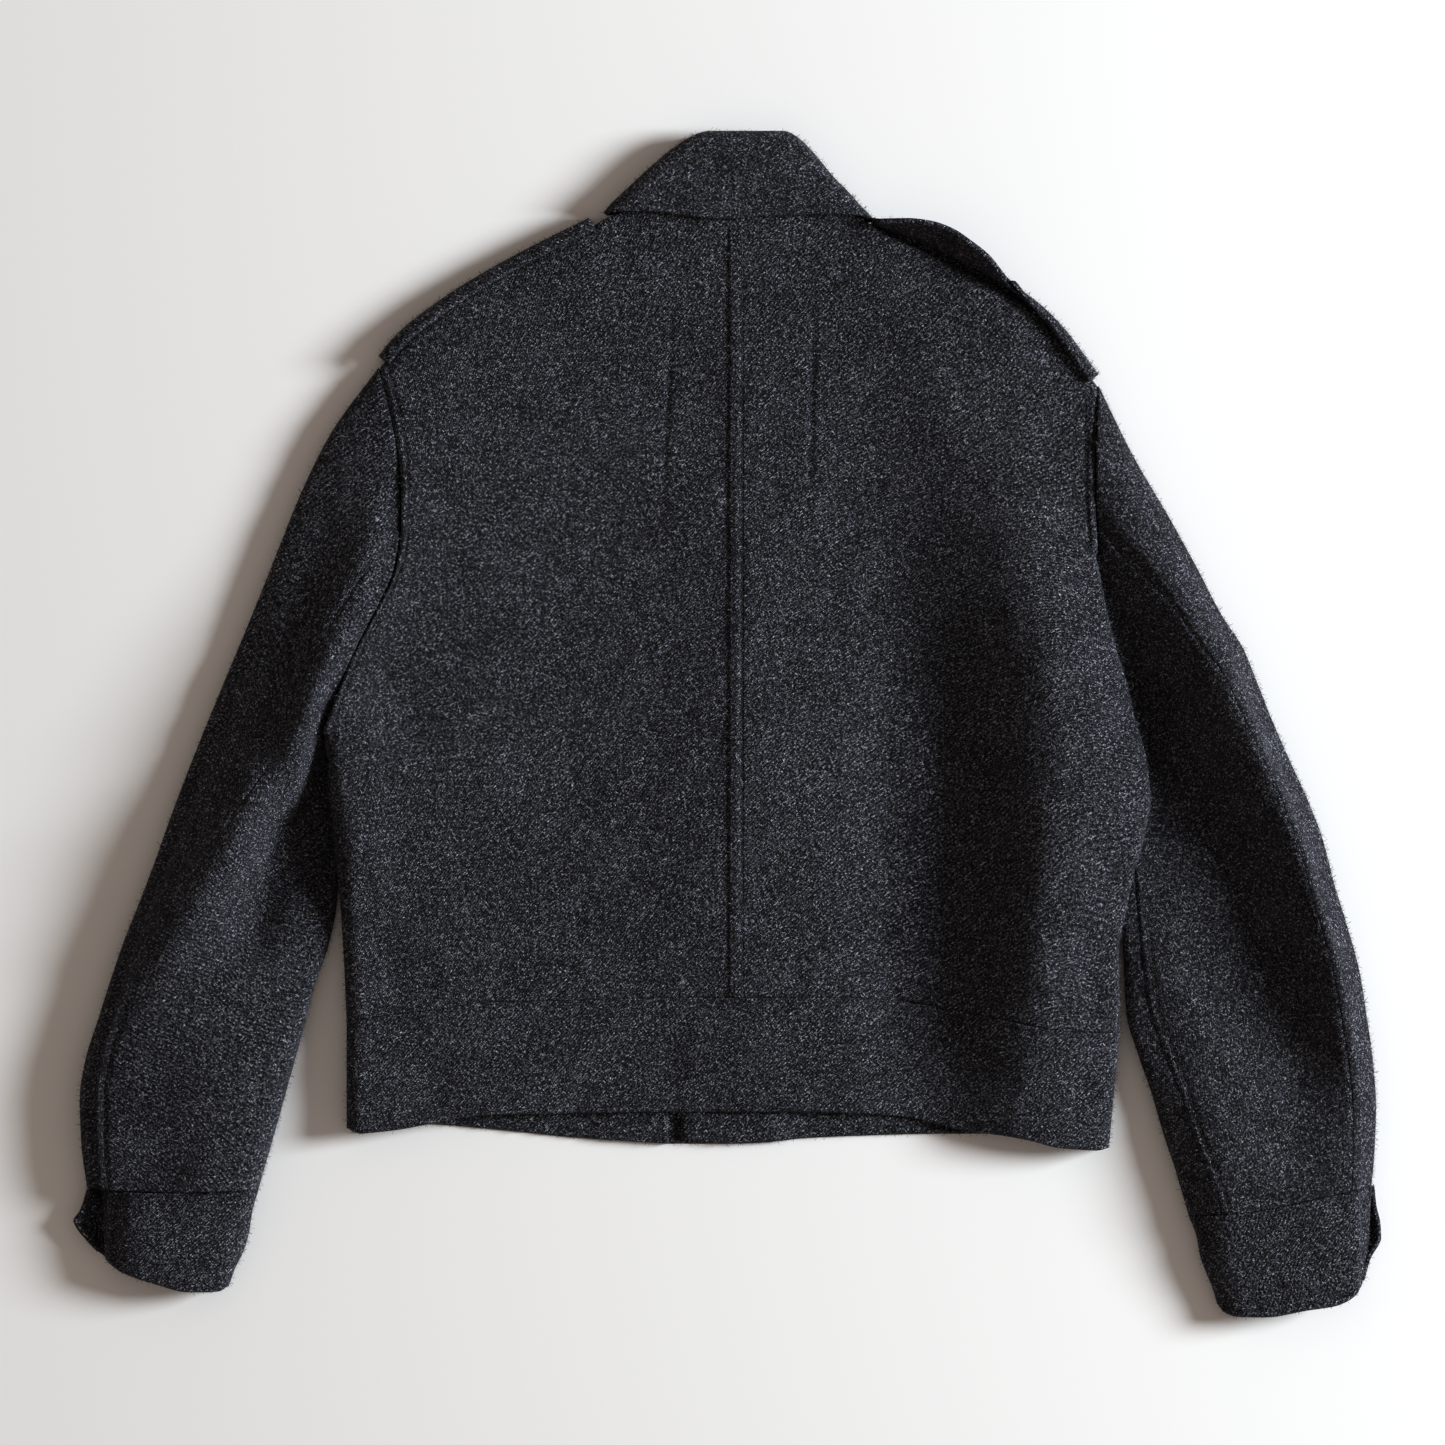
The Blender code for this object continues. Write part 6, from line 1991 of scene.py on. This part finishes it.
@dataclass
class Straps:
    """The shoulder straps, over the shoulder's edge or leaning out from it."""

    edge_stitch: float = 4.5
    foot: tuple[float, float] = (-0.5, 0.6)

    def strap(self, side: int) -> Form:
        """One strap.

        Args:
            side: -1 for the left one, 1 for the right one.

        Returns:
            Its form.
        """
        line = STRAP_LEFT_LINE if side < 0 else STRAP_RIGHT_LINE
        stations = STRAP_LEFT_STATIONS if side < 0 else STRAP_RIGHT_STATIONS
        at = shares(STRAP_ROWS)
        places = along(line)(at)
        out = sideways(unit(np.gradient(places, axis=0))) * side
        table = np.array(stations, float)
        lean = eased(table[:, 0], table[:, 1], at)[:, None, None]
        section = (1 - lean) * np.array(STRAP_WRAPPED)[None] + lean * np.array(STRAP_LEANING)[None]
        foot = np.broadcast_to([[list(self.foot)]], (STRAP_ROWS, 1, 2))
        section = np.concatenate([section, foot], axis=1)
        flat = places[:, None] + out[:, None] * section[..., :1]
        grid = np.concatenate([flat, section[..., 1:]], axis=-1)
        edge = Border(EdgeKind.TURNED, self.edge_stitch, 0.5)
        turned = Border(EdgeKind.TURNED)
        borders = (edge, HIDDEN) if side > 0 else (HIDDEN, edge)
        grid = grid if side > 0 else grid[:, ::-1]
        name = "epaulette_left" if side < 0 else "epaulette_right"
        return Form(name, grid, STRAP, turned, turned, *borders, spacing=3.0, creased=False)


class Cut(NamedTuple):
    """What shows of a piece, laid flat: width, length and area in metres."""

    width: float
    length: float
    area: float


@dataclass
class Tailor:
    """Turns forms into finished pieces: cloth, stitching and nap."""

    wool: bpy.types.Material
    thread: bpy.types.Material
    fibre: bpy.types.Material
    nap: Nap
    stitching: Stitching
    density: float = 200000.0
    lift: float = 0.25

    def stitch_line(self, skin: FineSkin, side: str, distance: float) -> Array:
        """The part of a stitch line that faces up.

        Args:
            skin: The fine skin.
            side: The border that it follows.
            distance: How far inside that border.

        Returns:
            Points, in millimetres.
        """
        points = skin.line_inside(side, distance)
        shown = points[:, 2] > 0.35 * np.median(points[:, 2])
        points = points[shown]
        points[:, 2] += self.lift
        return points

    def lines(self, skin: FineSkin) -> list[Array]:
        """Every stitch line of a piece."""
        found = []
        for side in ("left", "right", "top", "bottom"):
            distance = getattr(skin.form, side).stitch
            if distance > 0:
                found.append(self.stitch_line(skin, side, distance))
        if skin.form.name == "back":
            found.append(self.tuck_line(skin))
        return [line for line in found if len(line) > 2]

    def tuck_line(self, skin: FineSkin) -> Array:
        """The stitching down the centre tuck."""
        x = TUCK_LINES[-1] - 0.6
        points = []
        for row in skin.moved:
            inside = row[(row[:, 2] > 3) & (np.abs(row[:, 0] - x) < 30)]
            if len(inside) > 2 and inside[0, 1] < TUCK_TOP:
                order = np.argsort(inside[:, 0])
                points.append([np.interp(x, inside[order, 0], inside[order, axis]) for axis in range(3)])
        line = np.array(points)
        line[:, 2] += self.lift
        return line

    @staticmethod
    def wire(name: str, lines: Sequence[Array]) -> bpy.types.Object:
        """An object made of plain lines, for the stitching to follow."""
        points, edges = [], []
        for line in lines:
            start = len(points)
            points.extend((line * MM).tolist())
            edges.extend((start + n, start + n + 1) for n in range(len(line) - 1))
        mesh = bpy.data.meshes.new(name)
        mesh.from_pydata(points, edges, [])
        wire = bpy.data.objects.new(name, mesh)
        bpy.context.scene.collection.objects.link(wire)
        return wire

    def make(self, form: Form) -> None:
        """Args:
            form: The piece's form.
        """
        skin = FineSkin(form)
        shell = bpy.data.objects.new(form.name + "_cloth", skin.mesh())
        shell.data.materials.append(self.wool)
        bpy.context.scene.collection.objects.link(shell)
        extras = []
        lines = self.lines(skin)
        if lines:
            wire = self.wire(form.name + "_lines", lines)
            extras.append(self.stitching.grow(wire, form.name + "_stitches", {}, self.thread))
            bpy.data.objects.remove(wire, do_unlink=True)
        if form.nap > 0:
            sizes = {"Density": self.density * form.nap}
            extras.append(self.nap.grow(shell, form.name + "_nap", sizes, self.fibre))
        for piece in [shell] + extras:
            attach(piece, "root")
        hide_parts(form.name)
        count = sum(len(p) - 2 for piece in [shell] + extras for p in self.corner_counts(piece))
        LOG.info("%s: %d triangles", form.name, count)

    @staticmethod
    def corner_counts(piece: bpy.types.Object) -> list[range]:
        """A range as long as each face has corners."""
        return [range(polygon.loop_total) for polygon in piece.data.polygons]


@dataclass
class Studio:
    """A pale table, one large soft lamp from the right, and the camera straight above."""

    floor_colour: Colour = (0.83, 0.83, 0.83, 1.0)
    floor_size: float = 6.0
    lamp_place: tuple[float, float, float] = (4.65, 0.7, 2.0)
    lamp_size: float = 1.7
    lamp_power: float = 545.0
    lamp_colour: tuple[float, float, float] = (0.90, 0.96, 1.0)
    fill: float = 0.35
    contrast: float = 0.87
    fill_colour: Colour = (0.97, 0.82, 0.72, 1.0)
    camera_height: float = 6.0
    sensor: float = 36.0

    def floor(self) -> None:
        """The table."""
        half = self.floor_size / 2
        corners = [(-half, -half, 0), (half, -half, 0), (half, half, 0), (-half, half, 0)]
        mesh = bpy.data.meshes.new("table")
        mesh.from_pydata(corners, [], [(0, 1, 2, 3)])
        recipe = Recipe("table")
        sockets = {"Base Color": self.floor_colour, "Roughness": 0.95, "Specular IOR Level": 0.1}
        shader = recipe.node("ShaderNodeBsdfPrincipled", {}, sockets)
        recipe.node("ShaderNodeOutputMaterial", {}, {"Surface": shader.outputs[0]})
        mesh.materials.append(recipe.material)
        table = bpy.data.objects.new("table", mesh)
        bpy.context.scene.collection.objects.link(table)

    def light(self) -> None:
        """The lamp and the fill."""
        lamp = bpy.data.lights.new("lamp", "AREA")
        lamp.shape, lamp.size, lamp.energy = "DISK", self.lamp_size, self.lamp_power
        lamp.color = self.lamp_colour
        place = Vector(self.lamp_place)
        holder = bpy.data.objects.new("lamp", lamp)
        holder.location = place
        holder.rotation_euler = (-place).to_track_quat("-Z", "Y").to_euler()
        bpy.context.scene.collection.objects.link(holder)
        world = bpy.data.worlds.new("room")
        world.use_nodes = True
        back = world.node_tree.nodes["Background"].inputs
        back["Color"].default_value = self.fill_colour
        back["Strength"].default_value = self.fill
        bpy.context.scene.world = world

    def camera(self) -> None:
        """The camera, over the photo's centre."""
        view = bpy.data.cameras.new("camera")
        view.sensor_width = self.sensor
        view.lens = self.sensor * self.camera_height / (PHOTO_PIXELS * MM_PER_PIXEL * MM)
        view.clip_end = 4 * self.camera_height
        holder = bpy.data.objects.new("camera", view)
        middle = PHOTO_PIXELS / 2
        x = (middle - PHOTO_CENTRE[0]) * MM_PER_PIXEL * MM
        y = (PHOTO_CENTRE[1] - middle) * MM_PER_PIXEL * MM
        holder.location = (x, y, self.camera_height)
        bpy.context.scene.collection.objects.link(holder)
        bpy.context.scene.camera = holder

    def build(self) -> None:
        """Sets everything up."""
        self.floor()
        self.light()
        self.camera()
        bpy.context.scene.view_settings.view_transform = "Standard"
        bpy.context.scene.view_settings.gamma = self.contrast


def sleeve_pair() -> Sleeves:
    """The two sleeves, from their tables."""
    left = SleeveCut(
        ARMHOLE_LEFT, CUFF_SEAM_LEFT, SLEEVE_LEFT_OUTER, SLEEVE_LEFT_INNER, SLEEVE_LEFT_SECTIONS,
        ((HINDARM_LEFT, OUTER_COLUMNS), (None, UNDER_COLUMNS)), ARMHOLE_FADE,
    )
    groups = (
        (FOREARM_RIGHT, INNER_STRIP_COLUMNS), (HINDARM_RIGHT, MIDDLE_COLUMNS), (None, RIDGE_COLUMNS),
    )
    right = SleeveCut(
        ARMHOLE_RIGHT, CUFF_SEAM_RIGHT, SLEEVE_RIGHT_INNER, SLEEVE_RIGHT_OUTER,
        SLEEVE_RIGHT_SECTIONS, groups, 1.0,
    )
    return Sleeves(Sleeve(left), Sleeve(right))


def main() -> None:
    """Builds the pieces in order, and the studio."""
    logging.basicConfig(level=logging.INFO, format="%(message)s")
    sleeves = sleeve_pair()
    body = UpperBody(BodyRows(sleeves.left, sleeves.right))
    bands, cuffs, collar, straps = Waistbands(), Cuffs(), Collar(), Straps()
    forms = sleeves.left_forms() + sleeves.right_forms()
    forms += [body.front(-1), body.front(1), body.back()]
    forms += [bands.front(-1), bands.front(1), bands.back()]
    forms += [cuffs.cuff(-1), cuffs.cuff(1), collar.stand(), collar.fall()]
    forms += [straps.strap(-1), straps.strap(1)]
    tailor = Tailor(
        WoolFinish("wool_cloth").material(), ThreadFinish("thread").material(),
        FibreFinish("wool_fibre").material(), Nap(), Stitching(),
    )
    for form in forms:
        tailor.make(form)
    Studio().build()


if __name__ == "__main__":
    main()
